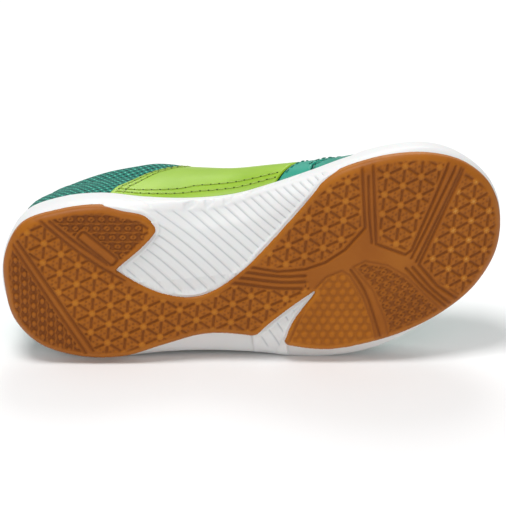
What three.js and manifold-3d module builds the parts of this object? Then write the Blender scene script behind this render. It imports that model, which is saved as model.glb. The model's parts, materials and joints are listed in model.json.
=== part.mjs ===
// A child's low indoor court shoe for the left foot, lying on its outer side. Sizes are in millimetres.
// In the shoe's own frame x runs from heel to toe, y to the outer side and z up from the ground.
import * as THREE from 'three';
import { ConvexHull } from 'three/addons/math/ConvexHull.js';
import Module from 'manifold-3d';

const wasm = await Module();
wasm.setup();

// Driving dimensions of the last and the sole.
const soleLength = 206;
const ballWidth = 84;
const instepHeight = 80;
const heelHeight = 64;
const lipHeight = 21;
const heelStack = 14;
const ballStack = 10;
const toeSpring = 9;
const toeSpringLength = 58;
const heelBevel = 2.5;
const heelBevelLength = 14;
const archRise = 5.5;
const waistRise = 1.6;
const heelLean = 12;
const heelRounding = 4;
const leanStart = 0.1;
const outerLeanEnd = 0.3;
const innerLeanEnd = 0.34;
const fullLean = 0.45;

// Thicknesses, gaps and small steps.
const gap = 0.35;
const treadThickness = 3;
const windowStep = 1.2;
const sideShare = 0.4;
const edgeRadius = 4;
const edgeRise = 2;
const lipThickness = 1.8;
const lipInset = 3.4;
const lipBevel = 1;
const innerLipShare = 0.25;
const upperWall = 2.2;
const collarPadding = 3.4;
const collarSwell = 2;
const overlayThickness = 1;
const overlayGap = 0.5;
const insoleThickness = 3;
const insoleGap = 0.8;
const tongueThickness = 4.5;
const tongueGap = 1.6;

// Tread grooves, foam ribs, eyelets and laces.
const grooveWidth = 1.3;
const grooveDepth = 1.1;
const groovePitch = 2.9;
const ribPitch = 5.6;
const ribGroove = 0.9;
const ribDepth = 0.7;
const ribSlant = 38;
const eyeletHole = 3.8;
const eyeletSetback = 7;
const eyeletRows = 5;
const firstEyelet = 0.605;
const lastEyelet = 0.43;
const laceWidth = 3.2;
const laceThickness = 1.6;
const laceEndGap = 0.8;

// Where the two round ends of the last have their centres, and how finely the surfaces are divided.
const heelCentre = 0.146;
const toeCentre = 0.854;
const sideSteps = 18;
const fanSteps = 12;
const upperRows = 8;
const outlineSteps = 420;
const windowSteps = 2;
const roundSteps = 8;
const beyond = 60;

// Sole outlines. at is a share of soleLength, and the half widths on each side are shares of ballWidth.
const soleSections = [
  { at: 0.015, treadOuter: 0.155, treadInner: 0.173, sideOuter: 0.173, sideInner: 0.185 },
  { at: 0.058, treadOuter: 0.294, treadInner: 0.325, sideOuter: 0.315, sideInner: 0.333 },
  { at: 0.136, treadOuter: 0.385, treadInner: 0.369, sideOuter: 0.411, sideInner: 0.381 },
  { at: 0.218, treadOuter: 0.411, treadInner: 0.366, sideOuter: 0.44, sideInner: 0.377 },
  { at: 0.301, treadOuter: 0.379, treadInner: 0.304, sideOuter: 0.449, sideInner: 0.331 },
  { at: 0.388, treadOuter: 0.355, treadInner: 0.248, sideOuter: 0.473, sideInner: 0.298 },
  { at: 0.476, treadOuter: 0.396, treadInner: 0.248, sideOuter: 0.51, sideInner: 0.293 },
  { at: 0.553, treadOuter: 0.471, treadInner: 0.286, sideOuter: 0.551, sideInner: 0.325 },
  { at: 0.631, treadOuter: 0.511, treadInner: 0.345, sideOuter: 0.573, sideInner: 0.369 },
  { at: 0.709, treadOuter: 0.5, treadInner: 0.408, sideOuter: 0.561, sideInner: 0.417 },
  { at: 0.786, treadOuter: 0.464, treadInner: 0.433, sideOuter: 0.508, sideInner: 0.444 },
  { at: 0.864, treadOuter: 0.395, treadInner: 0.412, sideOuter: 0.417, sideInner: 0.429 },
  { at: 0.932, treadOuter: 0.292, treadInner: 0.337, sideOuter: 0.31, sideInner: 0.351 },
  { at: 0.981, treadOuter: 0.137, treadInner: 0.202, sideOuter: 0.143, sideInner: 0.22 },
];
const heelTip = { tread: 0.006, side: 0, across: 0 };
const toeTip = { tread: 0.996, side: 1, across: -0.048 };

// The last. ridge is a share of instepHeight, square the power of the section's arch,
// spine and the bellies on each side shares of ballWidth, and lip a share of lipHeight.
const lastSections = [
  { at: 0, spine: 0.018, ridge: 1.37, square: 2.5, bellyOuter: 0.024, bellyInner: 0.024, lip: 1 },
  { at: 0.146, spine: 0.018, ridge: 1.35, square: 2.6, bellyOuter: 0.014, bellyInner: 0.04, lip: 1 },
  { at: 0.243, spine: 0.03, ridge: 1.28, square: 2.6, bellyOuter: 0.036, bellyInner: 0.052, lip: 0.98 },
  { at: 0.311, spine: 0.042, ridge: 1.17, square: 2.4, bellyOuter: 0.066, bellyInner: 0.07, lip: 0.97 },
  { at: 0.408, spine: 0.05, ridge: 1, square: 2.2, bellyOuter: 0.06, bellyInner: 0.085, lip: 0.95 },
  { at: 0.485, spine: 0.05, ridge: 0.875, square: 2, bellyOuter: 0.03, bellyInner: 0.082, lip: 0.92 },
  { at: 0.558, spine: 0.045, ridge: 0.765, square: 1.92, bellyOuter: 0.008, bellyInner: 0.066, lip: 0.88 },
  { at: 0.631, spine: 0.035, ridge: 0.672, square: 1.88, bellyOuter: 0, bellyInner: 0.038, lip: 0.84 },
  { at: 0.728, spine: 0.01, ridge: 0.585, square: 1.85, bellyOuter: 0, bellyInner: 0, lip: 0.81 },
  { at: 0.854, spine: -0.018, ridge: 0.51, square: 1.95, bellyOuter: 0, bellyInner: 0, lip: 0.81 },
  { at: 1, spine: -0.03, ridge: 0.5, square: 1.95, bellyOuter: 0, bellyInner: 0, lip: 0.83 },
];
const bellyLow = 0.75;

// The top line's height at the collar, as shares of heelHeight, and the throat's half width, of ballWidth.
const collarSections = [
  { at: 0, height: 1.03 },
  { at: 0.07, height: 1.01 },
  { at: 0.15, height: 0.94 },
  { at: 0.24, height: 0.89 },
  { at: 0.32, height: 0.92 },
  { at: 0.38, height: 1.02 },
  { at: 0.42, height: 1.1 },
];
const throatSections = [
  { at: 0.4, half: 0.19 },
  { at: 0.45, half: 0.155 },
  { at: 0.55, half: 0.132 },
  { at: 0.62, half: 0.104 },
  { at: 0.655, half: 0 },
];
const collarFront = 0.4;
const throatFront = 0.64;

// The tongue, from its free top to its seam under the vamp. half is a share of ballWidth.
const tongueSections = [
  { at: 0.305, half: 0.1 },
  { at: 0.315, half: 0.165 },
  { at: 0.335, half: 0.205 },
  { at: 0.38, half: 0.22 },
  { at: 0.44, half: 0.225 },
  { at: 0.5, half: 0.22 },
  { at: 0.56, half: 0.205 },
  { at: 0.62, half: 0.19 },
  { at: 0.665, half: 0.15 },
];
const tongueAcross = 6;

// Windows in the tread where the foam shows, in shares of soleLength and ballWidth.
const archWindow = [
  { at: 0.2, across: -0.44 },
  { at: 0.243, across: -0.352 },
  { at: 0.296, across: -0.292 },
  { at: 0.318, across: -0.214 },
  { at: 0.303, across: -0.167 },
  { at: 0.231, across: -0.042, corner: true },
  { at: 0.272, across: 0.042 },
  { at: 0.316, across: 0.107 },
  { at: 0.369, across: 0.143 },
  { at: 0.413, across: 0.123 },
  { at: 0.473, across: 0.04 },
  { at: 0.539, across: -0.092 },
  { at: 0.602, across: -0.238 },
  { at: 0.65, across: -0.351 },
  { at: 0.7, across: -0.46 },
];
const outerNotch = [
  { at: 0.468, across: 0.5, corner: true },
  { at: 0.486, across: 0.404 },
  { at: 0.549, across: 0.286 },
  { at: 0.61, across: 0.199, corner: true },
  { at: 0.558, across: 0.345 },
  { at: 0.536, across: 0.461 },
  { at: 0.52, across: 0.56, corner: true },
];

// Bands of parallel grooves across the tread, along lines in shares of soleLength and ballWidth.
const grooveBands = [
  { grooves: 2, line: [{ at: 0.035, across: -0.21 }, { at: 0.21, across: 0.38 }] },
  { grooves: 2, line: [{ at: 0.115, across: -0.34 }, { at: 0.218, across: -0.06 }] },
  { grooves: 3, line: [{ at: 0.4, across: 0.16 }, { at: 0.47, across: 0.185 }, { at: 0.56, across: 0.15 }] },
  { grooves: 3, line: [{ at: 0.72, across: -0.36 }, { at: 0.725, across: -0.15 }, { at: 0.69, across: -0.03 }] },
  { grooves: 3, line: [{ at: 0.865, across: -0.33 }, { at: 0.8, across: -0.06 }] },
  { grooves: 2, line: [{ at: 0.8, across: 0.02 }, { at: 0.875, across: 0.28 }] },
  { grooves: 2, line: [{ at: 0.685, across: 0.12 }, { at: 0.722, across: 0.25 }, { at: 0.735, across: 0.44 }] },
];

// Overlays on the upper, in side view. at is a share of soleLength and up a share of instepHeight.
const quarterPanel = [
  { at: 0.235, up: 0.1 },
  { at: 0.282, up: 0.34 },
  { at: 0.335, up: 0.49 },
  { at: 0.385, up: 0.61 },
  { at: 0.415, up: 0.95 },
  { at: 0.6, up: 0.85 },
  { at: 0.65, up: 0.52 },
  { at: 0.615, up: 0.39 },
  { at: 0.563, up: 0.24 },
  { at: 0.545, up: 0.1 },
];
const vampPanel = [
  { at: 0.55, up: 0.1 },
  { at: 0.568, up: 0.24 },
  { at: 0.62, up: 0.39 },
  { at: 0.655, up: 0.52 },
  { at: 0.662, up: 1 },
  { at: 0.735, up: 1 },
  { at: 0.725, up: 0.5 },
  { at: 0.69, up: 0.37 },
  { at: 0.64, up: 0.285 },
  { at: 0.62, up: 0.1 },
];
const toeWrap = [
  { at: 0.625, up: 0.1 },
  { at: 0.645, up: 0.275 },
  { at: 0.695, up: 0.36 },
  { at: 0.75, up: 0.4 },
  { at: 0.85, up: 0.42 },
  { at: 1.1, up: 0.44 },
  { at: 1.1, up: 0.1 },
];
const eyestayBand = 0.13;
const eyestayFront = 0.672;
const backstayHalf = 0.14;
const backstayDepth = 0.1;

// Reads a column of a table at a share of the length, along a smooth curve through its rows.
function read(table, column, at) {
  const last = table.length - 1;
  if (at <= table[0].at) return table[0][column];
  if (at >= table[last].at) return table[last][column];
  const i = table.findIndex((row) => row.at > at) - 1;
  const [a, b] = [table[i], table[i + 1]];
  const slope = (j, k) => (table[k][column] - table[j][column]) / (table[k].at - table[j].at);
  const width = b.at - a.at;
  const start = slope(Math.max(i - 1, 0), i + 1) * width;
  const end = slope(i, Math.min(i + 2, last)) * width;
  const u = (at - a.at) / width;
  const rest = 1 - u;
  return a[column] * (1 + 2 * u) * rest * rest + b[column] * (3 - 2 * u) * u * u
    + start * u * rest * rest - end * u * u * rest;
}

function mix(a, b, share) {
  return a + (b - a) * share;
}

function smooth(from, to, x) {
  return THREE.MathUtils.smoothstep(x, from, to);
}

// How far the toe spring lifts everything at x.
function toeLift(x) {
  const share = Math.max(0, (x - (soleLength - toeSpringLength)) / toeSpringLength);
  return toeSpring * share * share;
}

// Height of the ground side of the sole, at x and at a share of the way from the spine to its edge.
function ground(x, share, inner) {
  const bevel = Math.max(0, (heelBevelLength - x) / heelBevelLength);
  const at = x / soleLength;
  const waist = smooth(0.25, 0.4, at) * (1 - smooth(0.46, 0.62, at));
  const arch = inner ? archRise * share * share : 0;
  return toeLift(x) + heelBevel * bevel * bevel + waist * (arch + waistRise * share);
}

function lipTop(x) {
  return lipHeight * read(lastSections, 'lip', x / soleLength) + toeLift(x);
}

function footbed(x) {
  return mix(heelStack, ballStack, smooth(0.35, 0.7, x / soleLength)) + toeLift(x);
}

function ridge(x) {
  return instepHeight * read(lastSections, 'ridge', x / soleLength) + toeLift(x);
}

function spineAcross(x) {
  return ballWidth * read(lastSections, 'spine', x / soleLength);
}

// A closed outline of the sole through the rows of the table.
function soleOutline(name) {
  const point = (at, across) => new THREE.Vector3(at * soleLength, across * ballWidth, 0);
  const outer = soleSections.map((row) => point(row.at, row[name + 'Outer']));
  const inner = soleSections.map((row) => point(row.at, -row[name + 'Inner'])).reverse();
  const ends = [heelTip, toeTip].map((tip) => point(tip[name], tip.across));
  return new THREE.CatmullRomCurve3([ends[0], ...outer, ends[1], ...inner], true).getPoints(outlineSteps);
}
const treadOutline = soleOutline('tread');
const sideOutline = soleOutline('side');

// How far an outline lies from a point along a direction.
function reach(outline, from, direction) {
  let far = 0;
  for (let i = 0; i + 1 < outline.length; i++) {
    const a = outline[i].clone().sub(from);
    const b = outline[i + 1].clone().sub(from);
    const sideA = direction.x * a.y - direction.y * a.x;
    const sideB = direction.x * b.y - direction.y * b.x;
    if (sideA * sideB > 0 || sideA === sideB) continue;
    far = Math.max(far, a.lerp(b, sideA / (sideA - sideB)).dot(direction));
  }
  return far;
}

// A spoke runs level from the spine to the outlines. All rings of the shoe are points along the spokes.
function makeSpoke(at, degrees) {
  const x = at * soleLength;
  const angle = THREE.MathUtils.degToRad(degrees);
  const from = new THREE.Vector3(x, spineAcross(x), 0);
  const direction = new THREE.Vector3(Math.cos(angle), Math.sin(angle), 0);
  const side = reach(sideOutline, from, direction);
  const inward = Math.max(0, -direction.y);
  const lip = side - lipInset * mix(1, innerLipShare, inward);
  const row = (column) => read(lastSections, column, at);
  const outerShare = (1 + direction.y) / 2;
  return {
    from, direction, side, lip,
    inner: direction.y < 0,
    tread: reach(treadOutline, from, direction),
    cup: lip - lipThickness - gap,
    square: row('square'),
    lean: leanAt(at, direction),
    belly: ballWidth * mix(row('bellyInner'), row('bellyOuter'), outerShare),
    edgeX: x + direction.x * side,
  };
}

// How far the heel's top leans in and rounds off, next to the collar.
function leanAt(at, direction) {
  const end = mix(innerLeanEnd, outerLeanEnd, (1 + direction.y) / 2);
  const round = heelRounding * (2 * direction.x * direction.y) ** 2;
  return (heelLean * mix(0.5, 1, Math.abs(direction.y)) + round) * (1 - smooth(leanStart, end, at));
}

function makeSpokes() {
  const spokes = [];
  const sideAt = (i) => mix(heelCentre, toeCentre, i / sideSteps);
  for (let i = 0; i < sideSteps; i++) spokes.push(makeSpoke(sideAt(i), 90));
  for (let i = 0; i < fanSteps; i++) spokes.push(makeSpoke(toeCentre, 90 - 180 * i / fanSteps));
  for (let i = sideSteps; i > 0; i--) spokes.push(makeSpoke(sideAt(i), -90));
  for (let i = 0; i < fanSteps; i++) spokes.push(makeSpoke(heelCentre, -90 - 180 * i / fanSteps));
  return spokes;
}
const spokes = makeSpokes();

// The point of a spoke at a distance from the spine. height is a number or a function of x.
function onSpoke(spoke, distance, height) {
  const point = spoke.from.clone().addScaledVector(spoke.direction, distance);
  point.z = typeof height === 'function' ? height(point.x) : height;
  return point;
}

// The upper's outside at a share t of the way from the lip to the ridge.
function upperRadius(spoke, t) {
  const arch = (1 - t ** spoke.square) ** (1 / spoke.square);
  const lean = spoke.lean * Math.min(1, t / fullLean) ** 1.5;
  return spoke.cup * arch + spoke.belly * Math.sin(Math.PI * t ** bellyLow) - lean;
}

function upperPoint(spoke, t, swell = 0) {
  const low = lipTop(spoke.from.x);
  const top = ridge(spoke.from.x);
  const distance = upperRadius(spoke, t) + swell;
  const bow = 1 - t * t;
  const height = (x) => mix(mix(low, lipTop(x), bow), top, t);
  return onSpoke(spoke, distance, height);
}

// The share t at which the upper's outside ends: at the collar, at the throat's edge or on the ridge.
function openingShare(spoke) {
  const at = spoke.from.x / soleLength;
  const low = lipTop(spoke.from.x);
  if (at < collarFront) {
    const height = heelHeight * read(collarSections, 'height', spoke.edgeX / soleLength);
    return (height - low) / (ridge(spoke.from.x) - low);
  }
  if (at > throatFront) return 1;
  return shareAtRadius(spoke, ballWidth * read(throatSections, 'half', at));
}

function shareAtRadius(spoke, radius) {
  let [low, high] = [0.5, 1];
  for (let i = 0; i < 40; i++) {
    const middle = (low + high) / 2;
    if (upperRadius(spoke, middle) > radius) low = middle;
    else high = middle;
  }
  return high;
}

// Shares t of one spoke's rows, evenly turned round the section's arch from a first share to the opening.
function rowShares(spoke, first) {
  const angle = (t) => Math.asin(Math.min(1, t ** (spoke.square / 2)));
  const [from, to] = [angle(first), angle(openingShare(spoke))];
  const count = upperRows - 1;
  return Array.from({ length: count + 1 }, (_, i) => {
    const turned = Math.sin(mix(from, to, i / count)) ** (2 / spoke.square);
    return i === count ? openingShare(spoke) : turned;
  });
}

// Joins equal points and drops triangles that have collapsed. Each point keeps its wall thickness.
function weld(points, walls, triangles) {
  const places = new Map();
  const kept = { points: [], walls: [], triangles: [] };
  const index = points.map((point, i) => {
    const key = point.toArray().map((value) => Math.round(value * 1e4)).join();
    if (!places.has(key)) {
      places.set(key, kept.points.length);
      kept.points.push(point);
      kept.walls.push(walls[i]);
    }
    return places.get(key);
  });
  kept.triangles = triangles.map((t) => t.map((i) => index[i])).filter((t) => new Set(t).size === 3);
  return kept;
}

// Triangles between rows of points. Rows of a ring close on themselves.
function gridTriangles(rows, columns, ring) {
  const triangles = [];
  const across = ring ? columns : columns - 1;
  for (let j = 0; j + 1 < rows; j++) {
    for (let i = 0; i < across; i++) {
      const next = (i + 1) % columns;
      const [a, b] = [j * columns + i, j * columns + next];
      const [c, d] = [a + columns, b + columns];
      triangles.push([a, c, b], [b, c, d]);
    }
  }
  return triangles;
}

function sheet(rows, ring, wallAt = () => 0) {
  const columns = rows[0].length;
  const walls = rows.flatMap((row, j) => row.map((_, i) => wallAt(j, i)));
  return weld(rows.flat(), walls, gridTriangles(rows.length, columns, ring));
}

function geometryOf(points, triangles) {
  const positions = new Float32Array(points.flatMap((point) => point.toArray()));
  return new THREE.BufferGeometry()
    .setAttribute('position', new THREE.BufferAttribute(positions, 3))
    .setIndex(triangles.flat());
}

function solidOf(points, triangles) {
  return new wasm.Manifold(new wasm.Mesh({
    numProp: 3,
    vertProperties: new Float32Array(points.flatMap((point) => point.toArray())),
    triVerts: new Uint32Array(triangles.flat()),
  }));
}

// A closed body from rings that start and end on the spine.
function loft(rings) {
  const { points, triangles } = sheet(rings, true);
  return solidOf(points, triangles);
}

// A closed body from a sheet, between two distances along its normals.
function thicken(made, outside, inside) {
  const { points, walls, triangles } = made;
  const geometry = geometryOf(points, triangles);
  geometry.computeVertexNormals();
  const normals = geometry.getAttribute('normal');
  const moved = (i, distance) => {
    const normal = new THREE.Vector3().fromBufferAttribute(normals, i);
    return points[i].clone().addScaledVector(normal, distance);
  };
  const outer = points.map((_, i) => moved(i, outside));
  const inner = points.map((_, i) => moved(i, inside - walls[i]));
  const count = points.length;
  const edges = new Set();
  for (const [a, b, c] of triangles) for (const edge of [[a, b], [b, c], [c, a]]) edges.add(edge.join());
  const rim = [];
  for (const [a, b, c] of triangles) {
    for (const [from, to] of [[a, b], [b, c], [c, a]]) {
      if (edges.has([to, from].join())) continue;
      rim.push([to, from, from + count], [to, from + count, to + count]);
    }
  }
  const back = triangles.map(([a, b, c]) => [a + count, c + count, b + count]);
  return solidOf([...outer, ...inner], [...triangles, ...back, ...rim]);
}

// A closed geometry of three.js as a solid.
function solidOfGeometry(geometry) {
  const loose = geometry.index ? geometry.toNonIndexed() : geometry;
  const position = loose.getAttribute('position');
  const points = Array.from({ length: position.count }, (_, i) => new THREE.Vector3().fromBufferAttribute(position, i));
  const triangles = Array.from({ length: position.count / 3 }, (_, i) => [3 * i, 3 * i + 1, 3 * i + 2]);
  const welded = weld(points, points.map(() => 0), triangles);
  return solidOf(welded.points, welded.triangles);
}

function extrude(outline, depth) {
  const shape = new THREE.Shape(outline.map((point) => new THREE.Vector2(point.x, point.y)));
  return new THREE.ExtrudeGeometry(shape, { depth, bevelEnabled: false });
}

// An upright prism on a plan outline, and a level one on a side view's outline.
function planPrism(outline, low, high) {
  return solidOfGeometry(extrude(outline, high - low).translate(0, 0, low));
}

function sidePrism(outline, from, to) {
  const geometry = extrude(outline, Math.abs(to - from)).rotateX(Math.PI / 2);
  return solidOfGeometry(geometry.translate(0, Math.max(from, to), 0));
}

// A plan outline from rows of shares: smooth stretches between corners.
function windowOutline(rows) {
  const points = rows.map((row) => new THREE.Vector3(row.at * soleLength, row.across * ballWidth, 0));
  const corners = rows.map((row, i) => (row.corner || i === 0 || i === rows.length - 1 ? i : -1)).filter((i) => i >= 0);
  const outline = [];
  for (let c = 0; c + 1 < corners.length; c++) {
    const stretch = points.slice(corners[c], corners[c + 1] + 1);
    const curve = new THREE.CatmullRomCurve3(stretch).getPoints(windowSteps * (stretch.length - 1));
    outline.push(...(c === 0 ? curve : curve.slice(1)));
  }
  return outline;
}

// An outline moved inwards by a distance. Points that come too near another stretch of it drop out.
function insetOutline(outline, distance) {
  const turn = Math.sign(THREE.ShapeUtils.area(outline));
  const count = outline.length;
  const edge = new THREE.Line3();
  const nearest = new THREE.Vector3();
  const moved = outline.map((point, i) => {
    const into = point.clone().sub(outline[(i + count - 1) % count]).normalize();
    const away = outline[(i + 1) % count].clone().sub(point).normalize();
    const normal = new THREE.Vector3(-into.y - away.y, into.x + away.x, 0).normalize();
    const spread = Math.max(0.4, normal.dot(new THREE.Vector3(-into.y, into.x, 0)));
    return point.clone().addScaledVector(normal, turn * distance / spread);
  });
  return moved.filter((point) => outline.every((start, i) => {
    edge.set(start, outline[(i + 1) % count]);
    return edge.closestPointToPoint(point, true, nearest).distanceTo(point) > 0.97 * distance;
  }));
}

// The height of the tread's outer edge.
function treadEdge(spoke) {
  return ground(spoke.edgeX, 1, spoke.inner) + edgeRise;
}

// Rings of the sole's ground side, raised by a depth, from the spine out to its upturned edge and beyond it.
function groundRings(raise, spread = 0) {
  const shares = [0, 0.3, 0.6, 1];
  const rings = shares.map((share) => spokes.map((spoke) => {
    const distance = share * (spoke.tread - edgeRadius);
    return onSpoke(spoke, distance, (x) => ground(x, distance / spoke.tread, spoke.inner) + raise);
  }));
  const edge = spokes.map((spoke) => onSpoke(spoke, spoke.tread, treadEdge(spoke) + raise));
  const past = edge.map((point, i) => point.clone().lerp(rings.at(-1)[i], -spread / edgeRadius));
  return spread ? [...rings, edge, past] : [...rings, edge];
}

// A layer that follows the ground side between two depths, wider than the tread by spread.
function soleLayer(low, high, spread) {
  const under = groundRings(low, spread);
  const over = groundRings(high, spread).reverse();
  return loft([...under, ...over]);
}

// Narrow strips of a line's parallel copies, cut as deep as a layer.
function grooveCuts() {
  const cuts = grooveBands.flatMap(({ grooves, line }) => {
    const points = line.map((row) => new THREE.Vector3(row.at * soleLength, row.across * ballWidth, 0));
    return Array.from({ length: grooves }, (_, i) => {
      const middle = offsetLine(points, groovePitch * (i - (grooves - 1) / 2));
      const outline = [...offsetLine(middle, grooveWidth / 2), ...offsetLine(middle, -grooveWidth / 2).reverse()];
      return planPrism(outline, -beyond, beyond);
    });
  });
  return wasm.Manifold.union(cuts).intersect(soleLayer(-beyond, grooveDepth, 0));
}

function offsetLine(points, distance) {
  return points.map((point, i) => {
    const before = points[Math.max(0, i - 1)];
    const after = points[Math.min(points.length - 1, i + 1)];
    const along = after.clone().sub(before).normalize();
    return point.clone().add(new THREE.Vector3(-along.y, along.x, 0).multiplyScalar(distance));
  });
}

const archOutline = windowOutline(archWindow);
const notchOutline = windowOutline(outerNotch);

function makeOutsole() {
  const windows = [archOutline, notchOutline].map((outline) => planPrism(outline, -beyond, beyond));
  const slab = soleLayer(0, treadThickness, 0);
  return windows.reduce((body, window) => body.subtract(window), slab).subtract(grooveCuts());
}

// Slanted grooves between the ribs of the foam in the arch window.
function ribCuts() {
  const lean = THREE.MathUtils.degToRad(ribSlant);
  const along = new THREE.Vector3(Math.cos(lean), Math.sin(lean), 0);
  const across = new THREE.Vector3(-along.y, along.x, 0);
  const centre = new THREE.Vector3(0.42 * soleLength, -0.1 * ballWidth, 0);
  const reachOut = 0.3 * soleLength;
  const count = Math.ceil(reachOut / ribPitch);
  const strips = Array.from({ length: 2 * count + 1 }, (_, i) => {
    const middle = centre.clone().addScaledVector(across, (i - count) * ribPitch);
    const corner = (u, v) => middle.clone().addScaledVector(along, u).addScaledVector(across, v);
    const half = ribGroove / 2;
    const outline = [corner(-reachOut, -half), corner(reachOut, -half), corner(reachOut, half), corner(-reachOut, half)];
    return planPrism(outline, -beyond, beyond);
  });
  return wasm.Manifold.union(strips)
    .intersect(planPrism(insetOutline(archOutline, ribPitch / 2), -beyond, beyond))
    .intersect(soleLayer(-beyond, windowStep + ribDepth, 0));
}

function makeMidsole() {
  const wall = (distance, height) => spokes.map((spoke) => onSpoke(spoke, distance(spoke), height(spoke)));
  const rings = [
    ...groundRings(windowStep),
    wall((spoke) => spoke.side, (spoke) => mix(treadEdge(spoke), lipTop(spoke.edgeX), sideShare)),
    wall((spoke) => spoke.lip, () => lipTop),
    wall((spoke) => spoke.cup + gap + lipBevel, () => lipTop),
    wall((spoke) => spoke.cup + gap, () => (x) => lipTop(x) - lipBevel),
    wall((spoke) => spoke.cup + gap, () => footbed),
    wall((spoke) => 0.5 * spoke.cup, () => footbed),
    wall(() => 0, () => footbed),
  ];
  const windows = [archOutline, notchOutline].map((outline) => planPrism(insetOutline(outline, gap), -beyond, beyond));
  const pocket = windows.reduce((body, window) => body.subtract(window), soleLayer(-beyond, treadThickness + gap, beyond / 4));
  return loft(rings).subtract(pocket).subtract(ribCuts());
}

function makeInsole() {
  const ring = (share, raise) => spokes.map((spoke) => {
    const edge = spoke.cup - upperWall - insoleGap;
    return onSpoke(spoke, share * edge, (x) => footbed(x) + raise);
  });
  const top = gap + insoleThickness;
  return loft([ring(0, gap), ring(0.5, gap), ring(1, gap), ring(1, top), ring(0.5, top), ring(0, top)]);
}

// Rows of the upper's outside from a first share above the lip up to the opening.
function outsideRows(first) {
  const shares = spokes.map((spoke) => rowShares(spoke, first(spoke)));
  return Array.from({ length: upperRows }, (_, j) => spokes.map((spoke, i) => {
    const swell = collarShare(spoke) * collarSwell * collarBulge(j);
    return upperPoint(spoke, shares[i][j], swell);
  }));
}

// 1 along the collar, fading to 0 along the throat, and how the padding fills the last rows below the edge.
function collarShare(spoke) {
  return 1 - smooth(collarFront, collarFront + 0.06, spoke.from.x / soleLength);
}

function collarBulge(row) {
  const below = upperRows - 1 - row;
  return { 0: 0.35, 1: 1, 2: 0.55 }[below] ?? 0;
}

function makeUpper() {
  const foot = spokes.map((spoke) => onSpoke(spoke, spoke.cup, (x) => footbed(x) + gap));
  const rows = [foot, ...outsideRows(() => 0)];
  const padding = (j, i) => upperWall + collarPadding * collarShare(spokes[i]) * collarBulge(j - 1);
  return thicken(sheet(rows, true, padding), 0, 0).subtract(eyeletCuts());
}

// A thin shell just outside the upper, from which the overlays are cut.
function makeOverlayShell() {
  const first = (spoke) => 2 * overlayGap / (ridge(spoke.from.x) - lipTop(spoke.from.x));
  const shell = sheet(outsideRows(first), true);
  return thicken(shell, overlayGap + overlayThickness, overlayGap);
}

function sideOutlineOf(rows) {
  return rows.map((row) => new THREE.Vector3(row.at * soleLength, row.up * instepHeight, 0));
}

// The eyestay in plan: a band round the throat, wider than it by eyestayBand.
function eyestayOutline(extra) {
  const back = collarFront - 0.02;
  const steps = 8;
  const edge = (side) => Array.from({ length: steps }, (_, i) => {
    const at = mix(back, throatFront, i / (steps - 1));
    const half = ballWidth * (read(throatSections, 'half', at) + eyestayBand) + extra;
    return new THREE.Vector3(at * soleLength, spineAcross(at * soleLength) + side * half, 0);
  });
  const tip = new THREE.Vector3(eyestayFront * soleLength + extra, spineAcross(eyestayFront * soleLength), 0);
  return [...edge(1), tip, ...edge(-1).reverse()];
}

function makeOverlays() {
  const shell = makeOverlayShell();
  const eyestayPrism = planPrism(eyestayOutline(0), lipHeight, beyond * 2);
  const eyestayRoom = planPrism(eyestayOutline(2 * gap), lipHeight, beyond * 2);
  const part = (rows, from, to) => shell.intersect(sidePrism(sideOutlineOf(rows), from, to));
  const side = (rows, sign) => part(rows, sign * gap, sign * ballWidth).subtract(eyestayRoom);
  const whole = (rows) => part(rows, -ballWidth, ballWidth);
  const backHalf = backstayHalf * ballWidth;
  const backstay = [[-1, -1], [1, -1], [1, 1], [-1, 1]].map(([u, v]) => (
    new THREE.Vector3(u > 0 ? backstayDepth * soleLength : -beyond, v * backHalf, 0)));
  return {
    quarter_panel_outer: side(quarterPanel, 1),
    quarter_panel_inner: side(quarterPanel, -1),
    vamp_panel: whole(vampPanel).subtract(eyestayRoom),
    toe_wrap: whole(toeWrap),
    eyestay: shell.intersect(eyestayPrism).subtract(eyeletCuts()),
    backstay: shell.intersect(planPrism(backstay, 0, heelHeight)),
  };
}

// The upper's outside over the throat, as a height at x and at a distance to one side of the spine.
function archSpoke(x, side) {
  return makeSpoke(x / soleLength, side < 0 ? -90 : 90);
}

function archHeight(x, across) {
  const spoke = archSpoke(x, across);
  const share = Math.min(1, Math.abs(across) / spoke.cup) ** spoke.square;
  return mix(lipTop(x), ridge(x), (1 - share) ** (1 / spoke.square));
}

function archPoint(x, across, raise) {
  const step = 0.5;
  const height = (dx, dy) => archHeight(x + dx, across + dy);
  const normal = new THREE.Vector3(height(-step, 0) - height(step, 0), height(0, -step) - height(0, step), 2 * step);
  const point = new THREE.Vector3(x, spineAcross(x) + across, archHeight(x, across));
  return point.addScaledVector(normal.normalize(), raise);
}

function makeTongue() {
  const rows = tongueSections.map(({ at, half }) => (
    Array.from({ length: tongueAcross + 1 }, (_, i) => {
      const across = ballWidth * half * mix(-1, 1, i / tongueAcross);
      return archPoint(at * soleLength, across, -(upperWall + tongueGap));
    })));
  return thicken(sheet(rows, false), 0, -tongueThickness);
}

// Where an eyelet lies: row 0 is next to the toe.
function eyeletPlace(row, side) {
  const at = mix(firstEyelet, lastEyelet, row / (eyeletRows - 1));
  const half = ballWidth * read(throatSections, 'half', at) + eyeletSetback;
  return { x: at * soleLength, across: side * half };
}

function eyeletCuts() {
  const cuts = [];
  for (let row = 0; row < eyeletRows; row++) {
    for (const side of [-1, 1]) {
      const { x, across } = eyeletPlace(row, side);
      const top = archPoint(x, across, 3 * upperWall);
      const middle = archPoint(x, across, 0);
      const along = top.clone().sub(middle).normalize();
      const turn = new THREE.Quaternion().setFromUnitVectors(new THREE.Vector3(0, 1, 0), along);
      const hole = new THREE.CylinderGeometry(eyeletHole / 2, eyeletHole / 2, 6 * upperWall, roundSteps);
      cuts.push(solidOfGeometry(hole.applyQuaternion(turn).translate(...middle.toArray())));
    }
  }
  return wasm.Manifold.union(cuts);
}

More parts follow.
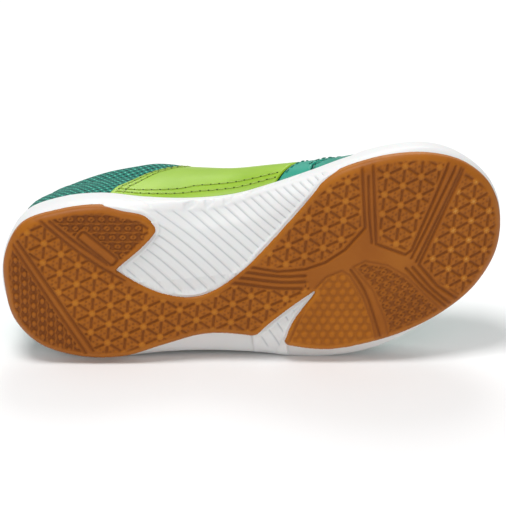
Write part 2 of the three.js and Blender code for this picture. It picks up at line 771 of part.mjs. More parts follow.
// The layer over the tongue, level with the upper, in which the laces cross.
function makeLaceLayer() {
  const steps = 14;
  const rows = Array.from({ length: steps + 1 }, (_, i) => {
    const at = mix(lastEyelet, firstEyelet, mix(-0.1, 1.1, i / steps));
    const half = ballWidth * read(throatSections, 'half', at) - laceEndGap;
    return [1, 0.6, 0.2, -0.2, -0.6, -1].map((share) => archPoint(at * soleLength, share * half, -laceThickness));
  });
  return thicken(sheet(rows, false), laceThickness, 0);
}

// An upright strip, as wide as a lace, from one eyelet to another.
function laceStrip(from, to) {
  const [a, b] = [from, to].map(({ x, across }) => new THREE.Vector3(x, spineAcross(x) + across, 0));
  const along = b.clone().sub(a).normalize();
  const sideways = new THREE.Vector3(-along.y, along.x, 0).multiplyScalar(laceWidth / 2);
  const corner = (end, side) => end.clone().addScaledVector(sideways, side);
  return planPrism([corner(a, -1), corner(b, -1), corner(b, 1), corner(a, 1)], lipHeight, 2 * beyond);
}

function makeLaces() {
  const layer = makeLaceLayer();
  const laces = {};
  for (let row = 0; row + 1 < eyeletRows; row++) {
    const strips = [-1, 1].map((side) => laceStrip(eyeletPlace(row, side), eyeletPlace(row + 1, -side)));
    if (row === 0) strips.push(laceStrip(eyeletPlace(0, -1), eyeletPlace(0, 1)));
    laces[`lace_cross_${row + 1}`] = wasm.Manifold.union(strips).intersect(layer);
  }
  return laces;
}

// Materials. density is in grams for a cubic centimetre.
const rubber = { color: 0xb06a24, roughness: 0.42, density: 1.15 };
const foam = { color: 0xeceeee, roughness: 0.55, density: 0.35 };
const mesh = { color: 0x11776a, roughness: 0.85, density: 0.8 };
const padded = { ...mesh, density: 0.45 };
const lining = { color: 0x17584f, roughness: 0.9, density: 0.25 };
const lime = { color: 0xa3cc3a, roughness: 0.4, density: 1.1 };
const teal = { color: 0x22a08a, roughness: 0.42, density: 1.1 };
const cord = { color: 0xd9e8c0, roughness: 0.8, density: 0.7 };

const looks = {
  outsole: rubber, midsole: foam, insole: lining, upper: mesh, tongue: padded,
  quarter_panel_outer: lime, quarter_panel_inner: lime,
  vamp_panel: teal, toe_wrap: teal, eyestay: teal, backstay: teal,
};

function meshOf(name, solid) {
  const { numProp, vertProperties, triVerts } = solid.getMesh();
  const positions = new Float32Array(vertProperties.length / numProp * 3);
  for (let i = 0; i < positions.length / 3; i++) {
    positions.set(vertProperties.subarray(i * numProp, i * numProp + 3), i * 3);
  }
  const geometry = new THREE.BufferGeometry()
    .setAttribute('position', new THREE.BufferAttribute(positions, 3))
    .setIndex(new THREE.BufferAttribute(triVerts, 1));
  const { color, roughness } = looks[name] ?? cord;
  const made = new THREE.Mesh(geometry, new THREE.MeshStandardMaterial({ color, roughness }));
  made.name = name;
  return made;
}

function cornersOf({ geometry }) {
  const position = geometry.toNonIndexed().getAttribute('position');
  return Array.from({ length: position.count }, (_, i) => new THREE.Vector3().fromBufferAttribute(position, i));
}

// The centre of mass, from the tetrahedra between the origin and every triangle.
function centreOfMass(meshes) {
  const sum = new THREE.Vector3();
  let mass = 0;
  for (const made of meshes) {
    const { density } = looks[made.name] ?? cord;
    const corners = cornersOf(made);
    for (let i = 0; i < corners.length; i += 3) {
      const [a, b, c] = corners.slice(i, i + 3);
      const part = density * a.dot(b.clone().cross(c)) / 6;
      sum.addScaledVector(a.clone().add(b).add(c), part / 4);
      mass += part;
    }
  }
  return sum.divideScalar(mass);
}

// How far the point below the centre of mass lies inside a face of the hull.
function footing(face, centre) {
  const foot = centre.clone().addScaledVector(face.normal, -face.distanceToPoint(centre));
  let margin = Infinity;
  let edge = face.edge;
  do {
    const start = edge.tail().point;
    const inward = face.normal.clone().cross(edge.head().point.clone().sub(start)).normalize();
    margin = Math.min(margin, foot.clone().sub(start).dot(inward));
    edge = edge.next;
  } while (edge !== face.edge);
  return margin;
}

// The face of the shoe's hull that it lies on: the one on its outer side with the firmest footing.
function restingFace(meshes) {
  const centre = centreOfMass(meshes);
  const { faces } = new ConvexHull().setFromPoints(meshes.flatMap(cornersOf));
  const below = faces.filter((face) => face.normal.y > 0.8);
  return below.sort((a, b) => footing(b, centre) - footing(a, centre))[0];
}

// Turns the shoe onto that face, with the toe along +x, and stands its box on the middle of the floor.
function layDown(shoe) {
  const { normal } = restingFace(shoe.children);
  const down = new THREE.Vector3(0, 0, -1);
  const fall = new THREE.Quaternion().setFromUnitVectors(normal, down);
  const toe = new THREE.Vector3(1, 0, 0).applyQuaternion(fall);
  const spin = new THREE.Quaternion().setFromAxisAngle(down, Math.atan2(toe.y, toe.x));
  shoe.quaternion.copy(spin.multiply(fall));
  shoe.updateMatrixWorld(true);
  const box = new THREE.Box3().setFromObject(shoe, true);
  const middle = box.getCenter(new THREE.Vector3());
  shoe.position.set(-middle.x, -middle.y, -box.min.z);
}

const solids = {
  outsole: makeOutsole(),
  midsole: makeMidsole(),
  insole: makeInsole(),
  upper: makeUpper(),
  tongue: makeTongue(),
  ...makeOverlays(),
  ...makeLaces(),
};
const shoe = new THREE.Group();
for (const [name, solid] of Object.entries(solids)) shoe.add(meshOf(name, solid));
layDown(shoe);
const part = new THREE.Group();
part.add(shoe);

export default part;
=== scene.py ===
"""A child's left court shoe, lying on its outer side.

Lengths are in millimetres in the shoe's own frame: x runs from heel to toe, y to the outer side and
z up from the ground. to_row() turns them into the room's frame, in metres.
"""
import functools
import json
import math

import bpy
import numpy as np
from mathutils import Matrix


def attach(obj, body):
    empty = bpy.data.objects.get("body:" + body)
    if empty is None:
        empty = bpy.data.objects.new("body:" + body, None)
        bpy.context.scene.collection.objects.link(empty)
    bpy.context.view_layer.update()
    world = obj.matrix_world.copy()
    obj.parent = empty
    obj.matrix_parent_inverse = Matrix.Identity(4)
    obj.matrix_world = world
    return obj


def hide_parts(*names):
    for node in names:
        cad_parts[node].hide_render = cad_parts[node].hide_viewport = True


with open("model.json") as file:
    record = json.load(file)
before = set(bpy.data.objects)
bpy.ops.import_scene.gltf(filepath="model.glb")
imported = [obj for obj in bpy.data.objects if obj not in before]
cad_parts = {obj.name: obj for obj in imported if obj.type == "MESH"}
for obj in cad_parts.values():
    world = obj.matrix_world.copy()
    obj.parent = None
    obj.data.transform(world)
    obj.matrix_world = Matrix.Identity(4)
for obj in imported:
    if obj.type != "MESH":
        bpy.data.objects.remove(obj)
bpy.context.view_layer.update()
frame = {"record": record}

# Driving dimensions of the last and the sole, as in the solids.
SOLE_LENGTH = 206
BALL_WIDTH = 84
INSTEP_HEIGHT = 80
HEEL_HEIGHT = 64
LIP_HEIGHT = 21
HEEL_STACK = 14
BALL_STACK = 10
TOE_SPRING = 9
TOE_SPRING_LENGTH = 58
HEEL_BEVEL = 2.5
HEEL_BEVEL_LENGTH = 14
ARCH_RISE = 5.5
WAIST_RISE = 1.6
WAIST_START = (0.25, 0.4)
WAIST_END = (0.46, 0.62)
STACK_CHANGE = (0.35, 0.7)
HEEL_LEAN = 12
HEEL_ROUNDING = 4
LEAN_START = 0.1
OUTER_LEAN_END = 0.3
INNER_LEAN_END = 0.34
FULL_LEAN = 0.45

GAP = 0.35
TREAD_THICKNESS = 3
WINDOW_STEP = 1.2
SIDE_SHARE = 0.4
EDGE_RADIUS = 4
EDGE_RISE = 2
LIP_THICKNESS = 1.8
LIP_INSET = 3.4
TOE_BUMPER = 1.6
TOE_BUMPER_START = (147, 152)
LIP_PROFILE = ((0.35, 0.15), (0.9, 0), (1.3, 0.35), (LIP_THICKNESS + 0.1, 1.2))
INNER_LIP_SHARE = 0.25
UPPER_WALL = 2.2
COLLAR_PADDING = 3.4
COLLAR_SWELL = 2
OVERLAY_GAP = 0.3
OVERLAY_THICKNESS = 1.1
INSOLE_THICKNESS = 3
INSOLE_GAP = 0.8
INSOLE_PROFILE = (
    (0, 0), (0.5, 0), (0.9, 0), (1, 0), (1, 0.6), (0.995, 0.9), (0.97, 1), (0.9, 0.85),
    (0.7, 0.75), (0.4, 0.72), (0, 0.72),
)
TONGUE_THICKNESS = 4.5
TONGUE_GAP = 1.6

EYELET_HOLE = 3.8
EYELET_SETBACK = 7
EYELET_RIM = (0.45, 0.4)
EYELET_STEPS = (24, 8)
EYELET_ROWS = 5
FIRST_EYELET = 0.605
LAST_EYELET = 0.43
LACE_WIDTH = 3.4
LACE_THICKNESS = 1.4
STITCH_PITCH = 3.5
STITCH_SIZE = (2.5, 0.75, 0.55)
NEEDLE_HOLE = 0.42
QUARTER_STITCHES_UP = (0.055, 0.115)
QUARTER_STITCHES_ACROSS = (0.03, 0.07)
VAMP_STITCHES = (0.12, 0.88)
TOE_WRAP_STITCHES = 0.9
EYESTAY_STITCHES = (0.14, 0.88)
DIVE_DEPTH = 3.6

# How finely each surface is divided. The foam's steps run from the middle of the sole to its lip.
TREAD_STEP = 0.42
HEEL_CENTRE = 0.146
TOE_CENTRE = 0.854
OUTLINE_STEPS = 420
FOAM_FINE = (0.06, 0.72, 278)
FOAM_STEPS = (5, 66, 10, 12, 26)
SMOOTHING_PASSES = 60

# Sole outlines: at is a share of SOLE_LENGTH, and the half widths are shares of BALL_WIDTH.
SOLE_COLUMNS = ("at", "tread_outer", "tread_inner", "side_outer", "side_inner")
SOLE_ROWS = (
    (0.015, 0.155, 0.173, 0.173, 0.185),
    (0.058, 0.294, 0.325, 0.315, 0.333),
    (0.136, 0.385, 0.369, 0.411, 0.381),
    (0.218, 0.411, 0.366, 0.44, 0.377),
    (0.301, 0.379, 0.304, 0.449, 0.331),
    (0.388, 0.355, 0.248, 0.473, 0.298),
    (0.476, 0.396, 0.248, 0.51, 0.293),
    (0.553, 0.471, 0.286, 0.551, 0.325),
    (0.631, 0.511, 0.345, 0.573, 0.369),
    (0.709, 0.5, 0.408, 0.561, 0.417),
    (0.786, 0.464, 0.433, 0.508, 0.444),
    (0.864, 0.395, 0.412, 0.417, 0.429),
    (0.932, 0.292, 0.337, 0.31, 0.351),
    (0.981, 0.137, 0.202, 0.143, 0.22),
)
HEEL_TIP = {"tread": 0.006, "side": 0, "across": 0}
TOE_TIP = {"tread": 0.996, "side": 1, "across": -0.048}

# The last: ridge is a share of INSTEP_HEIGHT, spine and bellies of BALL_WIDTH, lip of LIP_HEIGHT.
LAST_COLUMNS = ("at", "spine", "ridge", "square", "belly_outer", "belly_inner", "lip")
LAST_ROWS = (
    (0, 0.018, 1.37, 2.5, 0.024, 0.024, 1),
    (0.146, 0.018, 1.35, 2.6, 0.014, 0.04, 1),
    (0.243, 0.03, 1.28, 2.6, 0.036, 0.052, 0.98),
    (0.311, 0.042, 1.17, 2.4, 0.066, 0.07, 0.97),
    (0.408, 0.05, 1, 2.2, 0.06, 0.085, 0.95),
    (0.485, 0.05, 0.875, 2, 0.03, 0.082, 0.92),
    (0.558, 0.045, 0.765, 1.92, 0.008, 0.066, 0.88),
    (0.631, 0.035, 0.672, 1.88, 0, 0.038, 0.84),
    (0.728, 0.01, 0.585, 1.85, 0, 0, 0.81),
    (0.854, -0.018, 0.51, 1.95, 0, 0, 0.81),
    (1, -0.03, 0.5, 1.95, 0, 0, 0.83),
)
BELLY_LOW = 0.75

# The collar's height, of HEEL_HEIGHT, and the throat's and tongue's half widths, of BALL_WIDTH.
COLLAR_ROWS = ((0, 1.03), (0.07, 1.01), (0.15, 0.94), (0.24, 0.89), (0.32, 0.92), (0.38, 1.02), (0.42, 1.1))
THROAT_ROWS = ((0.4, 0.19), (0.45, 0.155), (0.55, 0.132), (0.62, 0.104), (0.655, 0))
TONGUE_ROWS = (
    (0.305, 0.1), (0.315, 0.165), (0.335, 0.205), (0.38, 0.22), (0.44, 0.225),
    (0.5, 0.22), (0.56, 0.205), (0.62, 0.19), (0.665, 0.15),
)
COLLAR_FRONT = 0.4
THROAT_FRONT = 0.64

# Windows in the tread, as (at, across) in shares of SOLE_LENGTH and BALL_WIDTH, in smooth stretches.
ARCH_WINDOW = (
    ((0.2, -0.44), (0.243, -0.352), (0.296, -0.292), (0.318, -0.214), (0.303, -0.167), (0.231, -0.042)),
    ((0.231, -0.042), (0.272, 0.042), (0.316, 0.107), (0.369, 0.143), (0.413, 0.123), (0.473, 0.04),
     (0.539, -0.092), (0.602, -0.238), (0.65, -0.351), (0.7, -0.46)),
)
OUTER_NOTCH = (
    ((0.468, 0.5), (0.486, 0.404), (0.549, 0.286), (0.61, 0.199)),
    ((0.61, 0.199), (0.558, 0.345), (0.536, 0.461), (0.52, 0.56)),
)

# Overlays in side view: (at, up) of their rear and front edges, in shares of SOLE_LENGTH and INSTEP_HEIGHT.
QUARTER_REAR = ((0.196, 0.1), (0.245, 0.34), (0.302, 0.49), (0.36, 0.61), (0.405, 0.95))
QUARTER_FRONT = ((0.545, 0.1), (0.563, 0.24), (0.615, 0.39), (0.65, 0.52), (0.655, 0.85))
VAMP_REAR = ((0.55, 0.1), (0.568, 0.24), (0.62, 0.39), (0.655, 0.52), (0.662, 1))
VAMP_FRONT = ((0.62, 0.1), (0.64, 0.285), (0.69, 0.37), (0.725, 0.5), (0.735, 1))
TOE_WRAP_TOP = ((0.625, 0.1), (0.645, 0.275), (0.695, 0.36), (0.75, 0.4), (0.85, 0.42), (1.1, 0.44))
EYESTAY_BAND = 0.13
EYESTAY_BACK = 0.385
EYESTAY_FRONT = 0.672
BACKSTAY_DEGREES = 24

# Creases over the ball: at, slant, width and depth, the last three in millimetres.
CREASES = ((0.655, 10, 2.6, 0.5), (0.7, 14, 3.2, 0.55), (0.745, 9, 2.8, 0.35))

# The tread's places in millimetres: grooves, zones and patterns.
HEEL_OUTER_BAND = (((7.3, -20.0), (18.8, 6.1), (29.9, 30.4)), ((9.6, -20.9), (21.3, 4.6), (32.9, 29.8)))
HEEL_INNER_BAND = (
    ((19.6, -28.7), (30.8, -15.8), (41.5, -5.4), (50, 1.0)),
    ((23.6, -27.6), (33.6, -16.6), (44, -6.6)),
)
PLATE = ((36.2, -20.4), (35.0, -19.4), (45.8, -7.3), (47.0, -8.3))
PLATE_EDGE = 1.2
WAIST_GROOVES = (
    ((97, 3.6), (113.8, 8.0), (122.8, 8.8)),
    ((95, 5.8), (112.7, 10.4), (122.4, 11.5)),
    ((93, 7.9), (110.1, 12.6), (120.6, 14.2)),
)
STAR_REAR = (
    (150.8, -38), (149.2, -8.5), (140.1, -0.2), (131.4, 4.3), (123.0, 6.1), (112, 5.6), (97, 1.0), (97, -38),
)
STAR_MIDDLE = ((155.3, -38), (152.9, -0.9), (164.2, 5.4), (167.0, 3.9), (180.2, -19.8), (190, -38))
STAR_TOE = (
    (200, -40), (189.8, -23.6), (169.4, 10.6), (175.9, 21.0), (184.9, 29.4), (195, 40), (215, 40), (215, -40),
)
FORE_BANDS = (
    ((152.7, -30), (151.4, -13.4), (151.2, -1.6)),
    ((166.6, 7.2), (173.9, -4.3), (180.6, -15.5), (188.4, -28)),
    ((168.4, 9.2), (176.0, -3.2), (183.0, -14.5), (190.6, -27)),
    ((166.7, 11.2), (173.9, 22.2), (183.4, 32.6)),
    ((163.9, 11.2), (170.8, 21.4), (180.9, 33.2)),
    ((141.6, 8.7), (146.3, 19.0), (149.1, 31.7), (150.8, 41)),
)
CHAIN_ZONE = (
    (142.6, 7.6), (147.7, 5.8), (156.5, 8.8), (163.7, 14.7), (170.2, 23.4), (177.5, 32.5), (180, 45),
    (154.4, 45), (153.2, 32.3), (149.4, 18.5),
)
DOT_ZONE = (
    (125.5, 15.5), (131, 10.6), (137.9, 8.6), (141.0, 11.2), (145.3, 21.2), (148.0, 33.0), (149.2, 46),
    (108, 46), (119.8, 24.8),
)
PICTURE_TURN = math.radians(7.5)
STAR_EDGE = 8.2
STAR_TURN = math.radians(102)
STAR_BAR = 1.15
STAR_GLOW = 1.8
STAR_DOT = 0.5
HEEL_ZONE_END = 60
WAIST_ZONE_END = 124
PLAIN_WAIST = (97, 9.5)
BAND_MARGIN = 1.3

# How light the gum is, and what grooves, nodes, rays and the rim take from that or add to it.
GUM_LIGHT = 0.5
# Painted shade: how much darker the tread's recesses and grooves are painted.
GROOVE_SHADE = 0.24
# Painted highlights: how much lighter the star nodes and their rays are painted.
NODE_SHINE = 0.05
RAY_SHINE = 0.22
# Painted highlight: how much lighter the gum is painted along the tread's rim.
RIM_SHINE = 0.05

# Where each pattern starts: stars as (zone, place, how bright its rays are), the others as their pitches.
HEEL_STAR = (36.6, 5.6)
STAR_FIELDS = ((STAR_REAR, (133, -10.2), 0.4), (STAR_MIDDLE, (164.4, -15.9), 0.5), (STAR_TOE, (192.6, -4), 1))
HEEL_COLUMNS = {
    "angle": PICTURE_TURN + math.pi / 2, "origin": (10.2, -6.7), "row_pitch": 3.5, "pitch": 3.9,
    "long_half": 1.25, "short_half": 0.85,
}
HEEL_OVALS = {
    "angle": PICTURE_TURN, "origin": (31.9, -27.6), "row_pitch": 3.85, "pitch": 4.2,
    "long_half": 1.35, "short_half": 1.0, "pit": 0.3,
}
CHAIN_RINGS = {
    "angle": math.radians(-9), "origin": (155.5, 32), "row_pitch": 2.9, "pitch": 4.6,
    "long_half": 1.5, "short_half": 0.95, "pit": 0.45,
}
FINE_DOTS = {"angle": PICTURE_TURN, "origin": (115.9, 33.9), "row_pitch": 3.1, "pitch": 3.8, "radius": 1.2}
CORNER_ROUNDING = 2.5
RELIEF = 0.65
RIB_PITCH = 5.1
RIB_SLANT = 0.93
RIB_DEPTH = 0.55
RIB_START = 60
RIB_BOW = 0.006
RIB_SPREAD = 0.0012
WALL_MARKS = (
    (80, 12, 3.2, 1.2), (88, 12.6, 2.6, 1.6), (95.5, 13, 2.2, 1.9), (103.5, 13.2, 2.8, 1.9),
    (113, 13.2, 3.2, 1.8), (123.5, 13.2, 3.2, 1.8),
)
WALL_GROOVE = ((55, 19), (64, 8))

# The photograph's view: a camera this far away, turned to the inner side and rolled about its axis.
CAMERA_DISTANCE = 900
CAMERA_TILT = math.radians(20)
CAMERA_ROLL = math.radians(7.15)
PIXELS_PER_MM = 2.47
PICTURE_SIZE = 506
CAMERA_OVER = (SOLE_LENGTH / 2 - 0.5, 0, 0)
AIM = (102.95, -3.84, 0)
FLOOR_HALF = 6
ROOM_LIGHT = 0.45

# Lights: name, place and size in metres, and power in watts.
LIGHTS = (
    ("key", (-0.4, -0.3, 1.6), 0.7, 17),
    ("fill", (0.5, -1.5, 0.5), 0.8, 2.8),
    ("back", (0.1, 1.1, 1.2), 0.8, 8),
)
HEEL_MARK = 32


def srgb(red, green, blue, alpha=1):
    def linear(value):
        share = value / 255
        return share / 12.92 if share <= 0.04045 else ((share + 0.055) / 1.055) ** 2.4
    return (linear(red), linear(green), linear(blue), alpha)


def smooth(low, high, x):
    share = np.clip((x - low) / (high - low), 0, 1)
    return share * share * (3 - 2 * share)


def mix(a, b, share):
    return a + (b - a) * share


def unit(vectors):
    """The same directions, one unit long."""
    return vectors / np.maximum(np.linalg.norm(vectors, axis=-1, keepdims=True), 1e-9)


# The shoe's frame

def shoe_frame():
    """The shoe's origin in metres and its axes, from the record's two tread faces."""
    mounts = {mount["name"]: mount for mount in frame["record"]["mounts"]}
    heel = np.array(mounts["heel_tread"]["pos_m"])
    toe = np.array(mounts["forefoot_tread"]["pos_m"])
    up = unit(-np.array(mounts["heel_tread"]["axis"]))
    along = toe - heel
    along = unit(along - up * along.dot(up))
    return heel - along * HEEL_MARK / 1000, np.array([along, np.cross(up, along), up])


ORIGIN, AXES = shoe_frame()


def to_row(points):
    return ORIGIN + np.asarray(points, float) / 1000 @ AXES


# Tables and outlines

def read(rows, column, at):
    """A column of a table at shares of the length, along a smooth curve through its rows."""
    table = np.array(rows, float)
    x, y = table[:, 0], table[:, column]
    at = np.clip(at, x[0], x[-1])
    i = np.clip(np.searchsorted(x, at, side="right") - 1, 0, len(x) - 2)
    slopes = np.empty(len(x))
    slopes[1:-1] = (y[2:] - y[:-2]) / (x[2:] - x[:-2])
    slopes[0] = (y[1] - y[0]) / (x[1] - x[0])
    slopes[-1] = (y[-1] - y[-2]) / (x[-1] - x[-2])
    width = x[i + 1] - x[i]
    u = (at - x[i]) / width
    rest = 1 - u
    return (y[i] * (1 + 2 * u) * rest**2 + y[i + 1] * (3 - 2 * u) * u**2
            + slopes[i] * width * u * rest**2 - slopes[i + 1] * width * u**2 * rest)


def last(name, at):
    return read(LAST_ROWS, LAST_COLUMNS.index(name), at)


def curve(points, count, closed=False):
    """A centripetal curve through points, at evenly spaced parameters."""
    points = np.array(points, float)
    total = len(points)
    spans = total if closed else total - 1
    made = []
    for t in np.linspace(0, spans, count + 1):
        i = min(int(t), spans - 1)
        u = t - i
        if closed:
            around = [points[(i + k) % total] for k in (-1, 0, 1, 2)]
        else:
            before = points[i - 1] if i > 0 else 2 * points[0] - points[1]
            after = points[i + 2] if i + 2 < total else 2 * points[-1] - points[-2]
            around = [before, points[i], points[i + 1], after]
        a, b, c, d = around
        first, middle, final = (max(np.linalg.norm(q - p), 1e-6) ** 0.5 for p, q in ((a, b), (b, c), (c, d)))
        start = ((b - a) / first - (c - a) / (first + middle) + (c - b) / middle) * middle
        end = ((c - b) / middle - (d - b) / (middle + final) + (d - c) / final) * middle
        square = -3 * b + 3 * c - 2 * start - end
        cube = 2 * b - 2 * c + start + end
        made.append(b + start * u + square * u**2 + cube * u**3)
    return np.array(made)


def sole_outline(name):
    outer, inner = (SOLE_COLUMNS.index(f"{name}_{side}") for side in ("outer", "inner"))
    points = [(HEEL_TIP[name], HEEL_TIP["across"])]
    points += [(row[0], row[outer]) for row in SOLE_ROWS]
    points += [(TOE_TIP[name], TOE_TIP["across"])]
    points += [(row[0], -row[inner]) for row in reversed(SOLE_ROWS)]
    return curve(np.array(points) * (SOLE_LENGTH, BALL_WIDTH), OUTLINE_STEPS, closed=True)


def window_outline(stretches):
    parts = [curve(np.array(stretch) * (SOLE_LENGTH, BALL_WIDTH), 6 * len(stretch)) for stretch in stretches]
    return np.concatenate([parts[0]] + [part[1:] for part in parts[1:]])


TREAD_OUTLINE = sole_outline("tread")
SIDE_OUTLINE = sole_outline("side")
ARCH_OUTLINE = window_outline(ARCH_WINDOW)
NOTCH_OUTLINE = window_outline(OUTER_NOTCH)


def reach(outline, start, direction):
    """How far an outline lies from points along their directions."""
    near, far = outline[:-1], outline[1:]
    a = near[None] - start[:, None]
    b = far[None] - start[:, None]
    side_a = direction[:, None, 0] * a[..., 1] - direction[:, None, 1] * a[..., 0]
    side_b = direction[:, None, 0] * b[..., 1] - direction[:, None, 1] * b[..., 0]
    crosses = (side_a * side_b <= 0) & (side_a != side_b)
    share = np.where(crosses, side_a / np.where(crosses, side_a - side_b, 1), 0)
    place = a + (b - a) * share[..., None]
    along = (place * direction[:, None]).sum(-1)
    return np.where(crosses, along, 0).max(1)


def distance_to(points, line, closed=False):
    """Distance from points to a broken line, and whether each point is inside it when it is closed."""
    line = np.array(line, float)
    ends = np.roll(line, -1, 0) if closed else line[1:]
    starts = line if closed else line[:-1]
    best = np.full(len(points), np.inf)
    inside = np.zeros(len(points), bool)
    for a, b in zip(starts, ends):
        step = b - a
        share = np.clip(((points - a) @ step) / max(step @ step, 1e-12), 0, 1)
        gap = points - a - share[:, None] * step
        best = np.minimum(best, (gap**2).sum(1))
        if closed and a[1] != b[1]:
            above = (a[1] > points[:, 1]) != (b[1] > points[:, 1])
            inside ^= above & (points[:, 0] < a[0] + step[0] * (points[:, 1] - a[1]) / step[1])
    return np.sqrt(best), inside


def depth_inside(points, line):
    """Distance inside a closed line, negative outside."""
    distance, inside = distance_to(points, line, closed=True)
    return np.where(inside, distance, -distance)


def window_depth(points):
    """Distance inside the tread's windows, whose corners at the rim are rounded, negative outside."""
    window = np.maximum(depth_inside(points, ARCH_OUTLINE), depth_inside(points, NOTCH_OUTLINE))
    near = np.abs(depth_inside(points, TREAD_OUTLINE) + window)
    return window + np.maximum(CORNER_ROUNDING - near, 0) ** 2 / CORNER_ROUNDING / 4


# The sole's and the last's surfaces, as in the solids

def toe_lift(x):
    share = np.maximum(0, (x - (SOLE_LENGTH - TOE_SPRING_LENGTH)) / TOE_SPRING_LENGTH)
    return TOE_SPRING * share**2


def ground(x, share, inner):
    bevel = np.maximum(0, (HEEL_BEVEL_LENGTH - x) / HEEL_BEVEL_LENGTH)
    at = x / SOLE_LENGTH
    waist = smooth(*WAIST_START, at) * (1 - smooth(*WAIST_END, at))
    arch = np.where(inner, ARCH_RISE * share**2, 0)
    return toe_lift(x) + HEEL_BEVEL * bevel**2 + waist * (arch + WAIST_RISE * share)


def toe_bumper(x):
    """How far the foam's lip rises further round the toe."""
    return TOE_BUMPER * smooth(*TOE_BUMPER_START, x)


def lip_top(x):
    return LIP_HEIGHT * last("lip", x / SOLE_LENGTH) + toe_lift(x)


def footbed(x):
    return mix(HEEL_STACK, BALL_STACK, smooth(*STACK_CHANGE, x / SOLE_LENGTH)) + toe_lift(x)


def ridge(x):
    return INSTEP_HEIGHT * last("ridge", x / SOLE_LENGTH) + toe_lift(x)


def spine(x):
    return BALL_WIDTH * last("spine", x / SOLE_LENGTH)


def last_radius(t, cup, square, belly, lean):
    """The upper's distance from the spine at shares of the way from the lip to the ridge."""
    arch = (1 - t**square) ** (1 / square)
    return cup * arch + belly * np.sin(np.pi * t**BELLY_LOW) - lean * np.minimum(1, t / FULL_LEAN) ** 1.5


class Spokes:
    """Level spokes from the spine at shares of the length, at an angle from the toe's direction."""

    def __init__(self, at, degrees):
        self.at = np.asarray(at, float)
        angle = np.radians(degrees)
        self.x = self.at * SOLE_LENGTH
        self.start = np.stack([self.x, spine(self.x)], 1)
        self.direction = np.stack([np.cos(angle), np.sin(angle)], 1)
        self.side = reach(SIDE_OUTLINE, self.start, self.direction)
        self.tread = reach(TREAD_OUTLINE, self.start, self.direction)
        inward = np.maximum(0, -self.direction[:, 1])
        self.lip = self.side - LIP_INSET * mix(1, INNER_LIP_SHARE, inward)
        self.cup = self.lip - LIP_THICKNESS - GAP
        self.inner = self.direction[:, 1] < 0
        self.square = last("square", self.at)
        outer_share = (1 + self.direction[:, 1]) / 2
        self.belly = BALL_WIDTH * mix(last("belly_inner", self.at), last("belly_outer", self.at), outer_share)
        self.edge_x = self.x + self.direction[:, 0] * self.side
        end = mix(INNER_LEAN_END, OUTER_LEAN_END, outer_share)
        rounding = HEEL_ROUNDING * (2 * self.direction.prod(1)) ** 2
        lean = HEEL_LEAN * mix(0.5, 1, np.abs(self.direction[:, 1])) + rounding
        self.lean = lean * (1 - smooth(LEAN_START, end, self.at))

    def place(self, distance, height):
        """Points at distances from the spine. height is an array or a function of x."""
        flat = self.start + self.direction * np.broadcast_to(distance, self.x.shape)[:, None]
        z = height(flat[:, 0]) if callable(height) else np.broadcast_to(height, self.x.shape)
        return np.column_stack([flat, z])

    def upper_radius(self, t):
        return last_radius(np.clip(t, 0, 1), self.cup, self.square, self.belly, self.lean)

    def upper(self, t, swell=0):
        low, top = lip_top(self.x), ridge(self.x)
        bow = 1 - t * t
        return self.place(
            self.upper_radius(t) + swell,
            lambda x: mix(mix(low, lip_top(x), bow), top, t),
        )

    def opening(self):
        """The share of the height at which the upper ends, at the collar, the throat or the ridge."""
        low = lip_top(self.x)
        collar = HEEL_HEIGHT * read(COLLAR_ROWS, 1, self.edge_x / SOLE_LENGTH)
        collar_share = (collar - low) / (ridge(self.x) - low)
        throat = self.share_at_radius(BALL_WIDTH * read(THROAT_ROWS, 1, self.at))
        share = mix(collar_share, throat, smooth(COLLAR_FRONT - 0.03, COLLAR_FRONT + 0.02, self.at))
        return np.where(self.at > THROAT_FRONT, 1, np.minimum(share, 1))

    def share_at_radius(self, radius):
        low, high = np.full_like(self.x, 0.5), np.ones_like(self.x)
        for _ in range(30):
            middle = (low + high) / 2
            wide = self.upper_radius(middle) > radius
            low = np.where(wide, middle, low)
            high = np.where(wide, high, middle)
        return high


def ring_of_spokes(side_steps, fan_steps, dense=None):
    """Spokes round the whole shoe, from the outer side of the heel to the toe and back."""
    share = np.linspace(0, 1, side_steps + 1)
    if dense is not None:
        low, high, extra = dense
        share = np.sort(np.concatenate([share, np.linspace(low, high, extra)]))
    sides = mix(HEEL_CENTRE, TOE_CENTRE, share)
    fan = np.arange(1, fan_steps) / fan_steps * 180
    at = np.concatenate([sides, np.full(len(fan), TOE_CENTRE), sides[::-1], np.full(len(fan), HEEL_CENTRE)])
    degrees = np.concatenate([np.full(len(sides), 90.0), 90 - fan, np.full(len(sides), -90.0), -90 - fan])
    return Spokes(at, degrees)


# Meshes

def make_piece(name, points, faces, material, replaces=(), colours=None, uv=None):
    """One piece from points in shoe millimetres. uv has one pair for each point."""
    mesh = bpy.data.meshes.new(name)
    mesh.from_pydata(to_row(points).tolist(), [], [list(face) for face in faces])
    mesh.update()
    mesh.validate()
    if colours is not None:
        layer = mesh.color_attributes.new("tone", "FLOAT_COLOR", "POINT")
        layer.data.foreach_set("color", np.ascontiguousarray(colours, dtype=np.float32).ravel())
    if uv is not None:
        corners = np.empty(len(mesh.loops), dtype=np.int32)
        mesh.loops.foreach_get("vertex_index", corners)
        layer = mesh.uv_layers.new(name="weave")
        layer.data.foreach_set("uv", np.asarray(uv, dtype=np.float32)[corners].ravel())
    mesh.shade_smooth()
    mesh.materials.append(material)
    piece = bpy.data.objects.new(name, mesh)
    bpy.context.scene.collection.objects.link(piece)
    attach(piece, "root")
    if replaces:
        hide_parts(*replaces)
    return piece


def grid_faces(rows, columns, ring=False, first=0, flip=False):
    j, i = np.meshgrid(np.arange(rows - 1), np.arange(columns if ring else columns - 1), indexing="ij")
    after = (i + 1) % columns
    low, high = j * columns, (j + 1) * columns
    faces = np.stack([low + i, high + i, high + after, low + after], -1).reshape(-1, 4) + first
    return faces[:, ::-1] if flip else faces


